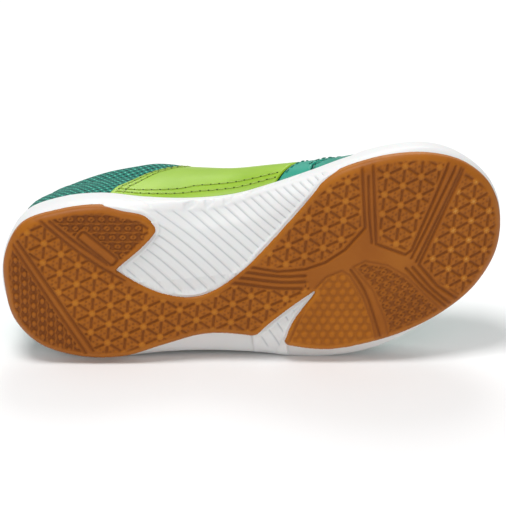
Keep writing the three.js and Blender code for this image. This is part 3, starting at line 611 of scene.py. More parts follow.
def normals_of(grid):
    """Unit normals of a grid of points with shape (rows, columns, 3)."""
    return unit(np.cross(np.gradient(grid, axis=1), np.gradient(grid, axis=0)))


def running_length(grid, axis):
    step = np.linalg.norm(np.diff(grid, axis=axis), axis=-1)
    zero = np.zeros_like(np.take(step, [0], axis=axis))
    return np.concatenate([zero, np.cumsum(step, axis=axis)], axis=axis)


def outward(points, normal):
    """Normals turned to point away from the middle of the shoe."""
    x = np.clip(points[..., 0], HEEL_CENTRE * SOLE_LENGTH, TOE_CENTRE * SOLE_LENGTH)
    middle = np.stack([x, spine(x), np.full_like(x, 25)], -1)
    sign = np.sign(((points - middle) * normal).sum(-1, keepdims=True))
    return normal * sign


def shell(grid, outside, inside, round_edge=0.8):
    """A closed shell round a grid, rounded at its rim. Returns points, faces and weave coordinates."""
    rows, columns = grid.shape[:2]
    normal = normals_of(grid)
    if (normal * outward(grid, normal)).sum() < 0:
        grid = grid[:, ::-1]
        normal = normals_of(grid)
    down, over = running_length(grid, 0), running_length(grid, 1)
    edge = np.minimum.reduce([down, down[-1:] - down, over, over[:, -1:] - over])
    turn = np.clip(edge / round_edge, 0, 1)
    rounded = np.sqrt(np.clip(1 - (1 - turn) ** 2, 0, 1))
    middle = (outside + inside) / 2
    top = grid + normal * (middle + (outside - middle) * rounded)[..., None]
    under = grid + normal * (middle + (inside - middle) * rounded)[..., None]
    points = np.concatenate([top.reshape(-1, 3), under.reshape(-1, 3)])
    count = rows * columns
    index = np.arange(count).reshape(rows, columns)
    loop = np.concatenate([index[0], index[1:, -1], index[-1, -2::-1], index[-2:0:-1, 0]])
    after = np.roll(loop, -1)
    rim = np.stack([loop, loop + count, after + count, after], -1)
    outer, inner = grid_faces(rows, columns, flip=True), grid_faces(rows, columns, first=count)
    faces = np.concatenate([outer, inner, rim])
    uv = np.stack([over, down], -1).reshape(-1, 2)
    return points, faces, np.concatenate([uv, uv])


# Materials

class Surface:
    """A material under construction, on the usual shader."""

    def __init__(self, name, roughness, **inputs):
        self.material = bpy.data.materials.new(name)
        self.material.use_nodes = True
        self.tree = self.material.node_tree
        self.shader = self.tree.nodes["Principled BSDF"]
        self.normal = None
        self.fill(self.shader, {"Roughness": roughness, **inputs})

    def fill(self, node, inputs):
        """Gives a node's inputs plain values or other nodes' outputs."""
        for key, value in inputs.items():
            socket = node.inputs[key.replace("_", " ")]
            if isinstance(value, bpy.types.NodeSocket):
                self.tree.links.new(value, socket)
            else:
                socket.default_value = value

    def node(self, kind, settings=None, **inputs):
        node = self.tree.nodes.new("ShaderNode" + kind)
        for key, value in (settings or {}).items():
            setattr(node, key, value)
        self.fill(node, inputs)
        return node

    def paint(self, colour):
        self.fill(self.shader, {"Base Color": colour})

    def place(self):
        return self.node("TexCoord").outputs["Object"]

    def weave(self, pitch, degrees):
        """The weave coordinates, turned and counted in pitches."""
        source = self.node("UVMap", {"uv_map": "weave"}).outputs["UV"]
        turn = (0, 0, math.radians(degrees))
        return self.node("Mapping", Vector=source, Scale=(1 / pitch, 1 / pitch, 1), Rotation=turn).outputs[0]

    def tone(self):
        """The tone layer's red, green and blue shares."""
        layer = self.node("VertexColor", {"layer_name": "tone"})
        return self.node("SeparateColor", Color=layer.outputs["Color"]).outputs

    def noise(self, scale, detail=3):
        return self.node("TexNoise", Vector=self.place(), Scale=scale, Detail=detail).outputs["Fac"]

    def math(self, operation, first, second=0, third=0):
        node = self.node("Math", {"operation": operation})
        for socket, value in zip(node.inputs, (first, second, third)):
            if isinstance(value, bpy.types.NodeSocket):
                self.tree.links.new(value, socket)
            else:
                socket.default_value = value
        return node.outputs[0]

    def clouded(self, value, scale, amount):
        """A value with soft clouds added to it."""
        return self.math("MULTIPLY_ADD", self.noise(scale, 4), amount, value)

    def ramp(self, source, *stops):
        ramp = self.node("ValToRGB", Fac=source)
        elements = ramp.color_ramp.elements
        while len(elements) < len(stops):
            elements.new(0.5)
        for element, (position, colour) in zip(elements, stops):
            element.position = position
            element.color = colour
        return ramp.outputs["Color"]

    def blend(self, share, first, second, kind="MIX"):
        settings = {"data_type": "RGBA", "blend_type": kind}
        return self.node("Mix", settings, Factor=share, A=first, B=second).outputs["Result"]

    def bump(self, height, strength, distance):
        """Relief on top of any relief added before."""
        bump = self.node("Bump", Height=height, Strength=strength, Distance=distance)
        if self.normal is not None:
            self.fill(bump, {"Normal": self.normal})
        self.normal = bump.outputs["Normal"]
        self.fill(self.shader, {"Normal": self.normal})


def grey(value):
    return (value, value, value, 1)


def gum_material():
    """Gum rubber. The tone layer's red is how light each place is, and its green how amber."""
    gum = Surface("gum", 0.48, Specular_IOR_Level=0.2, Coat_Weight=0.04, Coat_Roughness=0.25)
    tone = gum.tone()
    light = gum.clouded(tone["Red"], 60, 0.22)
    brown = gum.ramp(
        light, (0.0, srgb(82, 38, 2)), (0.3, srgb(118, 60, 4)), (0.6, srgb(149, 82, 14)),
        (0.8, srgb(172, 104, 30)), (1.0, srgb(206, 150, 84)))
    amber = gum.ramp(
        light, (0.0, srgb(100, 48, 2)), (0.3, srgb(136, 74, 4)), (0.6, srgb(170, 98, 10)),
        (0.8, srgb(190, 120, 24)), (1.0, srgb(220, 168, 88)))
    gum.paint(gum.blend(gum.clouded(tone["Green"], 28, 0.35), brown, amber))
    gum.bump(gum.noise(900, 2), 0.25, 0.0002)
    return gum.material


def foam_material():
    """White moulded foam. The tone layer holds lightness, ribbed places and the place among the ribs, from
    which a dark line of painted shade is laid along the step of each rib.
    """
    foam = Surface("foam", 0.5, Subsurface_Weight=0.08, Subsurface_Scale=0.002)
    tone = foam.tone()
    # Painted shade: a dark line along the step of each rib.
    line = foam.ramp(
        foam.math("FRACT", tone["Blue"]), (0.0, grey(0.55)), (0.05, grey(0.8)), (0.12, grey(0.1)),
        (0.2, grey(0)), (0.88, grey(0)), (1.0, grey(0.55)))
    shaded = foam.math("MULTIPLY", line, tone["Green"])
    light = foam.math("MULTIPLY_ADD", shaded, -0.55, foam.clouded(tone["Red"], 40, 0.12))
    foam.paint(foam.ramp(
        light, (0.1, srgb(146, 151, 156)), (0.5, srgb(192, 195, 197)), (0.8, srgb(219, 220, 220)),
        (1.0, srgb(228, 228, 227))))
    foam.bump(foam.noise(1400, 2), 0.2, 0.00015)
    return foam.material


def leather_material(name, deep, plain, pale, painted_sheen=None):
    """Smooth synthetic leather with a fine grain. Its last argument is a painted sheen: the paler colour that
    it takes far from the sole, standing in for the reflection of the bright room.
    """
    leather = Surface(name, 0.42, Specular_IOR_Level=0.35, Coat_Weight=0.08, Coat_Roughness=0.35)
    colour = leather.ramp(leather.noise(35, 4), (0.25, deep), (0.5, plain), (0.8, pale))
    # Painted reflection: the leather pales towards its top, far from the sole.
    if painted_sheen is not None:
        height = leather.node("SeparateXYZ", Vector=leather.place()).outputs["Y"]
        share = leather.node("MapRange", Value=height, From_Min=-0.004, From_Max=0.026).outputs["Result"]
        colour = leather.blend(share, colour, painted_sheen)
    leather.paint(colour)
    grain = leather.node("TexVoronoi", {"feature": "DISTANCE_TO_EDGE"}, Vector=leather.place(), Scale=1500)
    leather.bump(grain.outputs["Distance"], 0.25, 0.0002)
    leather.bump(leather.noise(120, 3), 0.18, 0.0006)
    return leather.material


def mesh_material(name, thread, light, hole, pitch):
    """Open knit: rows of holes between threads, on the weave coordinates. The holes are painted dark: painted
    shade inside them.
    """
    knit = Surface(name, 0.75, Specular_IOR_Level=0.25, Sheen_Weight=0.06)
    place = knit.weave(pitch, 28)
    cells = knit.node("TexVoronoi", {"feature": "F1"}, Vector=place, Scale=1, Randomness=0.12)
    colour = knit.ramp(
        cells.outputs["Distance"], (0.16, hole), (0.3, thread), (0.52, thread), (0.66, light))
    strand = knit.node(
        "TexWave", {"wave_type": "BANDS"}, Vector=place, Scale=2.2, Distortion=1.2, Detail=1).outputs["Color"]
    knit.paint(knit.blend(0.5, colour, strand, "SOFT_LIGHT"))
    knit.bump(cells.outputs["Distance"], 0.6, 0.0009)
    knit.bump(strand, 0.3, 0.0003)
    return knit.material


def cord_material(name, plain, deep, pitch):
    """A woven cord or thread, with strands that slant both ways on the weave coordinates."""
    cord = Surface(name, 0.75, Sheen_Weight=0.3, Sheen_Roughness=0.5)
    bands = [cord.node("TexWave", {"wave_type": "BANDS"}, Vector=cord.weave(pitch, degrees), Scale=1)
             for degrees in (35, -35)]
    both = cord.math("MULTIPLY", *(band.outputs["Fac"] for band in bands))
    cord.paint(cord.ramp(both, (0.0, deep), (0.5, plain), (1.0, plain)))
    cord.bump(both, 0.5, 0.0004)
    return cord.material


def plain_material(name, colour, deep, roughness):
    plain = Surface(name, roughness)
    cloud = plain.noise(300)
    plain.paint(plain.ramp(cloud, (0.3, deep), (0.7, colour)))
    plain.bump(cloud, 0.3, 0.0003)
    return plain.material


GUM = gum_material()
FOAM = foam_material()
# The lime leather pales towards its top: a painted sheen.
LIME = leather_material(
    "lime", srgb(132, 173, 16), srgb(142, 182, 24), srgb(154, 190, 44), painted_sheen=srgb(170, 196, 96))
TEAL = leather_material("teal", srgb(6, 124, 106), srgb(14, 144, 122), srgb(40, 164, 140))
MESH = mesh_material("teal_mesh", srgb(10, 112, 98), srgb(104, 204, 178), srgb(0, 16, 18), 2.5)
LINING = mesh_material("lining", srgb(20, 92, 82), srgb(32, 112, 100), srgb(10, 60, 54), 1.1)
LACE = cord_material("lace", srgb(206, 226, 160), srgb(128, 150, 84), 1.2)
LIME_THREAD = cord_material("lime_thread", srgb(186, 216, 92), srgb(148, 178, 50), 0.5)
TEAL_THREAD = cord_material("teal_thread", srgb(84, 190, 168), srgb(10, 92, 84), 0.5)
# Painted shade: the dark colour of the needle holes.
PINHOLE = plain_material("pinhole", srgb(78, 98, 20), srgb(50, 64, 14), 0.85)
RIM = plain_material("eyelet_rim", srgb(16, 120, 106), srgb(10, 96, 86), 0.4)


# The tread's relief

def groove(distance, width, soft=0.28):
    return 1 - smooth(width / 2 - soft, width / 2 + soft, distance)


def groove_lines(points, lines, width):
    cut = np.zeros(len(points))
    for line in lines:
        near = distance_to(points, curve(line, 24) if len(line) > 2 else line)[0]
        cut = np.maximum(cut, groove(near, width))
    return cut


def turned(points, angle, origin):
    offset = points - np.array(origin)
    along = np.array([math.cos(angle), math.sin(angle)])
    across = np.array([-along[1], along[0]])
    return offset @ along, offset @ across


def stars(points, origin):
    """Depth, painted glow round the nodes and painted highlights along the rays of a lattice of triangles
    with short grooves along their edges.
    """
    spacing = STAR_EDGE * math.sqrt(3) / 2
    cut, ray_highlight = np.zeros((2, len(points)))
    node = np.full(len(points), np.inf)
    for turn in (0, 60, 120):
        along, across = turned(points, STAR_TURN + math.radians(turn), origin)
        line = np.round(across / spacing)
        off = np.abs(across - line * spacing)
        place = along / STAR_EDGE + 0.5 * np.mod(line, 2)
        from_node = np.abs(place - np.round(place))
        node = np.minimum(node, np.hypot(off, from_node * STAR_EDGE))
        cut = np.maximum(cut, groove(off, STAR_BAR, 0.35) * smooth(0.14, 0.22, from_node))
        # Painted highlight: thin light rays along the lattice lines near each node.
        ray_highlight = np.maximum(ray_highlight, np.exp(-(off / 0.25) ** 2) * (1 - smooth(0.12, 0.3, from_node)))
    for turn in (0, 120, 240):
        angle = STAR_TURN + math.radians(turn + 30)
        shift = np.array([math.cos(angle), math.sin(angle)])
        for flip in (1, -1):
            cut = np.maximum(cut, 0.55 * lattice_dots(points - flip * shift, origin, flip))
    return cut, np.exp(-(node / STAR_GLOW) ** 2), ray_highlight


def lattice_dots(points, origin, flip):
    """Dots at the middles of the triangles that point one way."""
    a = np.array([math.cos(STAR_TURN), math.sin(STAR_TURN)]) * STAR_EDGE
    b = np.array([math.cos(STAR_TURN + math.pi / 3), math.sin(STAR_TURN + math.pi / 3)]) * STAR_EDGE
    middle = (a + b) / 3 if flip > 0 else 2 * (a + b) / 3
    offset = points - np.array(origin) - middle
    back = np.linalg.inv(np.column_stack([a, b]))
    cell = offset @ back.T
    best = np.full(len(points), np.inf)
    for i in (0, 1):
        for j in (0, 1):
            corner = np.floor(cell) + (i, j)
            gap = offset - corner @ np.column_stack([a, b]).T
            best = np.minimum(best, np.hypot(gap[:, 0], gap[:, 1]))
    return 1 - smooth(STAR_DOT - 0.25, STAR_DOT + 0.25, best)


def staggered(points, angle, origin, row_pitch, pitch):
    """Each point's steps along and off the nearest place in staggered rows, and its count along the row."""
    along, across = turned(points, angle, origin)
    row = np.round(across / row_pitch)
    place = along / pitch + 0.5 * np.mod(row, 2)
    return (place - np.round(place)) * pitch, across - row * row_pitch, place


def ovals(points, angle, origin, row_pitch, pitch, long_half, short_half, pit=0):
    """Depth of rows of raised ovals, each with a pit if pit is given, with wavy ribs between the rows."""
    step, off, place = staggered(points, angle, origin, row_pitch, pitch)
    radius = np.hypot(step / long_half, off / short_half)
    button = 1 - smooth(0.8, 1.1, radius)
    if pit:
        button = button * smooth(pit - 0.2, pit + 0.2, radius)
    half_row = np.abs(np.abs(off) - row_pitch / 2 + 0.32 * np.cos(2 * np.pi * place))
    rib = 1 - smooth(0.2, 0.5, half_row)
    outline = np.exp(-((radius - 1.3) / 0.22) ** 2)
    return 1 - np.maximum(button, 0.85 * rib) + 0.3 * outline


def dots(points, angle, origin, row_pitch, pitch, radius):
    """Depth between staggered raised dots."""
    step, off, _ = staggered(points, angle, origin, row_pitch, pitch)
    return smooth(radius - 0.25, radius + 0.25, np.hypot(step, off))


def beyond_line(points, line):
    """Signed distance from a straight line, positive on its right."""
    a, b = np.array(line[0], float), np.array(line[-1], float)
    step = (b - a) / np.linalg.norm(b - a)
    offset = points - a
    return offset[:, 1] * -step[0] + offset[:, 0] * step[1]


def plate_depth(points):
    gap, inside = distance_to(points, PLATE, closed=True)
    return np.where(inside, gap, -gap) + PLATE_EDGE


def heel_zones(points):
    """Masks of the tread's outer, inner and middle zones behind the forefoot."""
    x, y = points.T
    rear = x < HEEL_ZONE_END
    outer = rear & (beyond_line(points, HEEL_OUTER_BAND[0]) < -BAND_MARGIN)
    inner = rear & (beyond_line(points, HEEL_INNER_BAND[1]) > BAND_MARGIN) & (y < 1)
    inner &= plate_depth(points) < -1.2
    band = rear & (beyond_line(points, HEEL_INNER_BAND[0]) > -BAND_MARGIN) & (y < 4)
    waist = (beyond_line(points, HEEL_OUTER_BAND[1]) > BAND_MARGIN) & ~band & (x < WAIST_ZONE_END)
    waist &= depth_inside(points, WAIST_GROOVES[0] + WAIST_GROOVES[2][::-1]) < -1.2
    waist &= depth_inside(points, DOT_ZONE) < -1
    waist &= ~((x > PLAIN_WAIST[0]) & (y < PLAIN_WAIST[1])) & (depth_inside(points, STAR_REAR) < 0)
    return outer, inner, waist & (distance_to(points, WAIST_GROOVES[0])[0] > 1.5)


def tread_grooves(points, edge):
    """Depth of the grooves between the zones and round the plate."""
    def ring(polygon, width):
        return groove(distance_to(points, polygon, closed=True)[0], width)
    grooves = groove_lines(points, HEEL_OUTER_BAND + HEEL_INNER_BAND, 1.2)
    grooves = np.maximum(grooves, groove_lines(points, WAIST_GROOVES, 1.3))
    grooves = np.maximum(grooves, groove_lines(points, FORE_BANDS, 1.0))
    for polygon in (STAR_REAR, STAR_MIDDLE, STAR_TOE):
        grooves = np.maximum(grooves, ring(polygon, 1.1))
    for polygon in (CHAIN_ZONE, DOT_ZONE):
        grooves = np.maximum(grooves, 0.5 * ring(polygon, 0.9))
    plate = plate_depth(points)
    grooves = np.where(plate > -0.6, groove(np.abs(plate), 1.1), grooves)
    return grooves * smooth(1.2, 2.2, edge)


def tread_relief(points, edge):
    """Depth, lightness and amber share of the tread. edge is the distance from its rim."""
    cut, glow, ray_highlight, amber = np.zeros((4, len(points)))

    def fill(zone, depth, within=9, shine=0, rays=0, warmth=0):
        fade = smooth(2.0, 3.0, edge[zone]) * np.clip(within, 0, 1)
        cut[zone] = np.maximum(cut[zone], depth * fade)
        glow[zone] = np.maximum(glow[zone], shine * fade)
        ray_highlight[zone] = np.maximum(ray_highlight[zone], rays * fade)
        amber[zone] = warmth

    outer, inner, waist = heel_zones(points)
    fill(outer, ovals(points[outer], **HEEL_COLUMNS), warmth=0.05)
    fill(inner, ovals(points[inner], **HEEL_OVALS), warmth=0.05)
    # The nodes' painted glow also makes them more amber.
    depth, shine, rays = stars(points[waist], HEEL_STAR)
    fill(waist, depth, shine=shine, rays=0.5 * rays, warmth=0.35 + 0.15 * shine)
    for polygon, origin, bright in STAR_FIELDS:
        inside = depth_inside(points, polygon)
        zone = inside > 1.2
        depth, shine, rays = stars(points[zone], origin)
        fill(zone, depth, (inside[zone] - 1.2) / 0.8, shine, bright * rays, 0.2 + 0.15 * shine)
    inside = depth_inside(points, DOT_ZONE)
    zone = inside > 0.6
    fill(zone, 0.5 * dots(points[zone], **FINE_DOTS), (inside[zone] - 0.6) / 0.6, warmth=0.75)
    inside = depth_inside(points, CHAIN_ZONE)
    zone = inside > 0.8
    fill(zone, 0.85 * ovals(points[zone], **CHAIN_RINGS), (inside[zone] - 0.8) / 0.5, warmth=0.2)
    cut = np.maximum(cut, tread_grooves(points, edge))
    # Painted shade darkens the recesses and makes them less amber; painted highlights lighten the star nodes,
    # their rays and the tread's rim.
    light = GUM_LIGHT - GROOVE_SHADE * cut + (NODE_SHINE * glow + RAY_SHINE * ray_highlight) * (1 - cut)
    return cut, light + RIM_SHINE * (1 - smooth(1.6, 3.4, edge)), amber * (1 - 0.5 * cut)


def sole_sides():
    """The tread's reach to each side of the spine over the length, for the ground's shape."""
    at = np.linspace(HEEL_CENTRE, TOE_CENTRE, 240)
    return at * SOLE_LENGTH, Spokes(at, np.full(240, 90.0)), Spokes(at, np.full(240, -90.0))


SIDE_X, OUTER_SIDE, INNER_SIDE = sole_sides()


def ground_at(x, y):
    """The ground side's height at any place of the sole."""
    off = y - spine(x)
    inner = off < 0
    width = np.where(inner, np.interp(x, SIDE_X, INNER_SIDE.tread), np.interp(x, SIDE_X, OUTER_SIDE.tread))
    return ground(x, np.minimum(np.abs(off) / width, 1.2), inner)


def boundary_loop(faces):
    """The one closed loop round a set of faces, as point numbers in order."""
    edges = np.concatenate([faces[:, [k, (k + 1) % faces.shape[1]]] for k in range(faces.shape[1])])
    code = edges[:, 0].astype(np.int64) * 10**7 + edges[:, 1]
    back = edges[:, 1].astype(np.int64) * 10**7 + edges[:, 0]
    lone = edges[~np.isin(code, back)]
    after = dict(map(tuple, lone.tolist()))
    start = lone[0, 0]
    loop = [int(start)]
    while after[loop[-1]] != start:
        loop.append(after[loop[-1]])
    return loop


def make_outsole():
    xs = np.arange(-1, SOLE_LENGTH + 1, TREAD_STEP)
    ys = np.arange(-0.46 * BALL_WIDTH, 0.54 * BALL_WIDTH, TREAD_STEP)
    x, y = np.meshgrid(xs, ys, indexing="ij")
    points = np.column_stack([x.ravel(), y.ravel()])
    outer = depth_inside(points, TREAD_OUTLINE)
    window = -np.maximum(depth_inside(points, ARCH_OUTLINE), depth_inside(points, NOTCH_OUTLINE))
    rounding = np.maximum(CORNER_ROUNDING - np.abs(outer - window), 0) ** 2 / CORNER_ROUNDING / 4
    edge = (np.minimum(outer, window) - rounding).reshape(x.shape)
    faces, used = patch_of_cells(edge > 0.3 * TREAD_STEP)
    slope_x, slope_y = np.gradient(edge, TREAD_STEP)
    slope = unit(np.column_stack([slope_x.ravel(), slope_y.ravel()])[used])
    flat, rim = points[used].copy(), edge.ravel()[used].copy()
    loop = np.array(boundary_loop(faces))
    flat[loop] -= slope[loop] * rim[loop, None]
    rim[loop] = 0
    outer_used = np.where(rim == 0, np.minimum(outer[used], 0.4), outer[used])
    outer_used = np.maximum(outer_used, rim)
    cut, light, amber = tread_relief(flat, rim)
    rise = EDGE_RISE * np.clip(1 - outer_used / EDGE_RADIUS, 0, 1) ** 2
    lip = 0.5 * np.clip(1 - rim / 0.9, 0, 1) ** 2
    z = ground_at(flat[:, 0], flat[:, 1]) + rise + lip + RELIEF * cut
    bottom = np.column_stack([flat, z])
    rings = [bottom]
    for raised in (1.1, 2.2, TREAD_THICKNESS):
        rings.append(np.column_stack([flat[loop], z[loop] + raised]))
    count, around = len(bottom), len(loop)
    walls = []
    levels = [loop] + [count + k * around + np.arange(around) for k in range(3)]
    for low, high in zip(levels[:-1], levels[1:]):
        walls.append(np.stack([np.roll(low, -1), low, high, np.roll(high, -1)], -1))
    all_faces = [list(face) for face in np.concatenate([faces] + walls)[:, ::-1]]
    all_faces.append([int(n) for n in levels[-1]][::-1])
    light = np.concatenate([light] + [np.full(around, 0.6)] * 3)
    amber = np.concatenate([amber] + [np.full(around, 0.3)] * 3)
    colours = np.column_stack([light, amber, light, np.ones_like(light)])
    points = np.concatenate(rings)
    return make_piece("gum_outsole", points, all_faces, GUM, ["outsole"], colours)


def patch_of_cells(keep):
    """Faces over the kept places of a grid, numbered afresh, and the places that they use."""
    cells = keep[:-1, :-1] & keep[1:, :-1] & keep[1:, 1:] & keep[:-1, 1:]
    index = np.arange(keep.size).reshape(keep.shape)
    i, j = np.nonzero(cells)
    faces = np.stack([index[i, j], index[i, j + 1], index[i + 1, j + 1], index[i + 1, j]], -1)
    faces = largest_patch(faces, keep.size)
    used = np.unique(faces)
    renumber = np.full(keep.size, -1)
    renumber[used] = np.arange(len(used))
    return renumber[faces], used


def largest_patch(faces, count):
    """The faces of the largest connected patch."""
    label, before = np.arange(count), None
    while before is None or not np.array_equal(before, label):
        before = label.copy()
        low = label[faces].min(1)
        for corner in faces.T:
            np.minimum.at(label, corner, low)
        label = label[label]
    patch = label[faces[:, 0]]
    values, counts = np.unique(patch, return_counts=True)
    return faces[patch == values[counts.argmax()]]


# The foam

def rib_place(points):
    """Where each place in a window of the sole is, counted in slanted ribs from a number above 0."""
    x, y = points[:, 0], points[:, 1]
    place = x - RIB_SLANT * (y + 22) + RIB_BOW * (y + 8) ** 2 - RIB_START
    return 100 + place / (RIB_PITCH * (1 - RIB_SPREAD * place))


def rib_height(share):
    """Height of overlapping ribs from 0 to 1, steep at their start."""
    return smooth(0, 0.25, share) * (1 - 0.7 * share)


def foam_rows(spokes):
    """Rows of points from the middle of the sole round its side to the foot-bed, with their masks.

    The masks say where the foam is ribbed, where a bead runs round a window and what is to be smoothed.
    """
    edge_height = ground(spokes.edge_x, 1, spokes.inner) + EDGE_RISE
    rows, ribbed, beads, soft = [], [], [], []

    def add_row(points, raised):
        inside = window_depth(points[:, :2])
        if raised:
            points[:, 2] += mix(TREAD_THICKNESS + GAP, WINDOW_STEP, smooth(-2.2, -1.4, inside))
        rows.append(points)
        ribbed.append(smooth(1.2, 1.8, inside))
        beads.append(np.exp(-((inside - 0.75) / 0.4) ** 2))
        return inside

    middle, sole, edge, side, lip = FOAM_STEPS
    for share in np.concatenate([np.linspace(0, 0.24, middle), np.linspace(0.28, 1, sole)]):
        distance = share * (spokes.tread - EDGE_RADIUS)
        add_row(spokes.place(distance, lambda x: ground(x, distance / spokes.tread, spokes.inner)), True)
        soft.append(ribbed[-1])
    base = spokes.place(spokes.tread - EDGE_RADIUS, lambda x: ground(x, 1, spokes.inner))[:, 2]
    for share in np.linspace(0.1, 1, edge):
        distance = spokes.tread - EDGE_RADIUS * (1 - share)
        add_row(spokes.place(distance, mix(base, edge_height, share**1.6)), True)
        soft.append(ribbed[-1])
    start = rows[-1][:, 2]
    bulge = mix(edge_height, lip_top(spokes.edge_x), SIDE_SHARE)
    for share in np.linspace(0.08, 1, side):
        distance = mix(spokes.tread, spokes.side, np.sin(share * math.pi / 2))
        inside = add_row(spokes.place(distance, mix(start, bulge, share)), False)
        ribbed[-1] *= 1 - smooth(0, 0.25, share - 0.55 * smooth(88, 118, spokes.x))
        soft.append(np.maximum(ribbed[-1], smooth(0.2, 1.2, inside) * (1 - share)))
        beads[-1] *= 0
    for share in np.linspace(0.04, 1, lip):
        distance = mix(spokes.side, spokes.lip, share**1.7)
        rows.append(spokes.place(distance, lambda x: mix(bulge, lip_top(x) + toe_bumper(x) - 0.6, share)))
    for inset, drop in LIP_PROFILE:
        rows.append(spokes.place(spokes.lip - inset, lambda x: lip_top(x) + toe_bumper(x) - drop))
    for share, level in ((1, 0.4), (1, 0), (0.75, 0), (0.5, 0), (0.25, 0), (0, 0)):
        distance = spokes.cup * share + (GAP if share == 1 else 0)
        rows.append(spokes.place(distance, lambda x: mix(footbed(x), lip_top(x), level)))
    masks = np.zeros((3, len(rows), len(spokes.x)))
    masks[:, :len(soft)] = ribbed, beads, soft
    return np.array(rows), masks


def make_midsole():
    grid, (ribbed, bead, soft) = foam_rows(ring_of_spokes(60, 36, FOAM_FINE))
    for _ in range(SMOOTHING_PASSES):
        grid[1:-1] += 0.5 * soft[1:-1, :, None] * ((grid[:-2] + grid[2:]) / 2 - grid[1:-1])
    place = rib_place(grid.reshape(-1, 3)).reshape(ribbed.shape)
    mark = wall_marks(grid)
    push = 0.35 * bead - 0.4 * mark - RIB_DEPTH * (1 - rib_height(place - np.floor(place))) * ribbed
    grid = grid + outward_of_ring(grid) * push[..., None]
    # Painted shadow: thin grey lines on the flanks of the bead round each window.
    rim = (ribbed < 0.5) * (bead > 0.15) * (bead < 0.7)
    # Painted shade: the pushed-in marks and the groove on the inner wall are also painted darker.
    tone = 0.84 - 0.12 * mark - 0.08 * rim
    colours = np.stack([tone, ribbed, place, np.ones_like(tone)], -1).reshape(-1, 4)
    points, faces, keep = merge_ends(grid, grid_faces(*grid.shape[:2], ring=True))
    return make_piece("foam_midsole", points, faces, FOAM, ["midsole"], colours[keep])


def wall_marks(grid):
    """Plain shallow oblongs and a groove along the inner wall."""
    mark = np.zeros(grid.shape[:2])
    for x, z, half_long, half_wide in WALL_MARKS:
        along = (grid[..., 0] - x) / half_long
        up = (grid[..., 2] - z - 0.35 * (grid[..., 0] - x)) / half_wide
        mark = np.maximum(mark, 1 - smooth(0.6, 1, (along**4 + up**4) ** 0.25))
    near = distance_to(grid[..., [0, 2]].reshape(-1, 2), WALL_GROOVE)[0].reshape(mark.shape)
    mark = np.maximum(mark, 0.7 * np.exp(-(near / 0.5) ** 2))
    return mark * (grid[..., 1] < -10)


def outward_of_ring(grid):
    """Normals of the foam's rows, turned out of the shoe."""
    normal = normals_of_ring(grid)
    return np.where(normal[:1, :, 2:].mean() > 0, -normal, normal)


def normals_of_ring(grid):
    """Unit normals of rows of points that close on themselves, pointing out of the shoe."""
    around = np.roll(grid, -1, 1) - np.roll(grid, 1, 1)
    return unit(np.cross(np.gradient(grid, axis=0), around))


def merge_ends(grid, faces):
    """Joins points that share a place and drops faces that have collapsed."""
    flat = grid.reshape(-1, 3)
    _, first, place = np.unique(np.round(flat, 4), axis=0, return_index=True, return_inverse=True)
    place = place.ravel()
    kept = []
    for face in place[faces]:
        corners = list(dict.fromkeys(face.tolist()))
        if len(corners) > 2:
            kept.append(corners)
    return flat[first], kept, first


# The upper

def collar_fade(at):
    return 1 - smooth(COLLAR_FRONT, COLLAR_FRONT + 0.06, at)


def collar_bulge(below):
    """How full the collar's padding is at a distance below its edge, in millimetres."""
    return np.clip(np.sin(np.pi * np.clip(below / 16, 0, 1) ** 0.62), 0, 1)


def creases(x, t):
    """Soft troughs over the ball, where the upper bends in walking."""
    depth = np.zeros_like(x)
    for at, slant, width, deep in CREASES:
        off = x - at * SOLE_LENGTH + slant * (1 - t)
        depth = depth + deep * np.exp(-(off / width) ** 2) * smooth(0.25, 0.7, t)
    return depth


def make_upper():
    spokes = ring_of_spokes(110, 32)
    opening = spokes.opening()
    low, top = lip_top(spokes.x), ridge(spokes.x)
    end = np.arcsin(np.clip(opening, 0, 1) ** (spokes.square / 2))
    rows = [spokes.place(spokes.cup, footbed)]
    rows.append(spokes.place(spokes.cup, lambda x: mix(footbed(x), lip_top(x), 0.6)))
    bulges = []
    for share in np.linspace(0, 1, 60):
        t = np.sin(end * share) ** (2 / spokes.square) if share < 1 else opening
        bulges.append(collar_bulge((opening - t) * (top - low)) * collar_fade(spokes.at))
        rows.append(spokes.upper(t, COLLAR_SWELL * bulges[-1] - creases(spokes.x, t)))
    grid = np.array(rows)
    bulge = np.array(bulges[:1] * 2 + bulges)
    inside = grid - normals_of_ring(grid) * (UPPER_WALL + COLLAR_PADDING * bulge)[..., None]
    rim = (grid[-1] + inside[-1]) / 2
    rim[:, 2] += 0.9 * collar_fade(spokes.at)
    layers = np.concatenate([grid, rim[None], inside[::-1]])
    down = running_length(layers, 0)
    over = np.broadcast_to(running_length(grid, 1).mean(0), down.shape)
    uv = np.stack([over, down], -1).reshape(-1, 2)
    points, faces, first = merge_ends(layers, grid_faces(*layers.shape[:2], ring=True))
    return make_piece("mesh_upper", points, faces, MESH, ["upper"], uv=uv[first])


def side_surface(x, side, t):
    """Points of the upper's outside on one side, at x and at shares of the height."""
    table = OUTER_SIDE if side > 0 else INNER_SIDE
    form = [np.interp(x, SIDE_X, getattr(table, name)) for name in ("cup", "square", "belly", "lean")]
    t = np.clip(t, 0, 1)
    radius = last_radius(t, *form) - creases(x, t)
    return np.stack([x, spine(x) + side * radius, mix(lip_top(x), ridge(x), t)], -1)


def edge_x(rows, z):
    table = np.array(rows) * (SOLE_LENGTH, INSTEP_HEIGHT)
    return np.interp(z, table[:, 1], table[:, 0])


def band_place(rear, front, across, t):
    """x of places between a rear and a front edge at shares across and up."""
    x = mix(rear[2][0], front[2][0], across) * SOLE_LENGTH
    for _ in range(12):
        z = mix(lip_top(x), ridge(x), t)
        x = mix(x, mix(edge_x(rear, z), edge_x(front, z), across), 0.6)
    return x


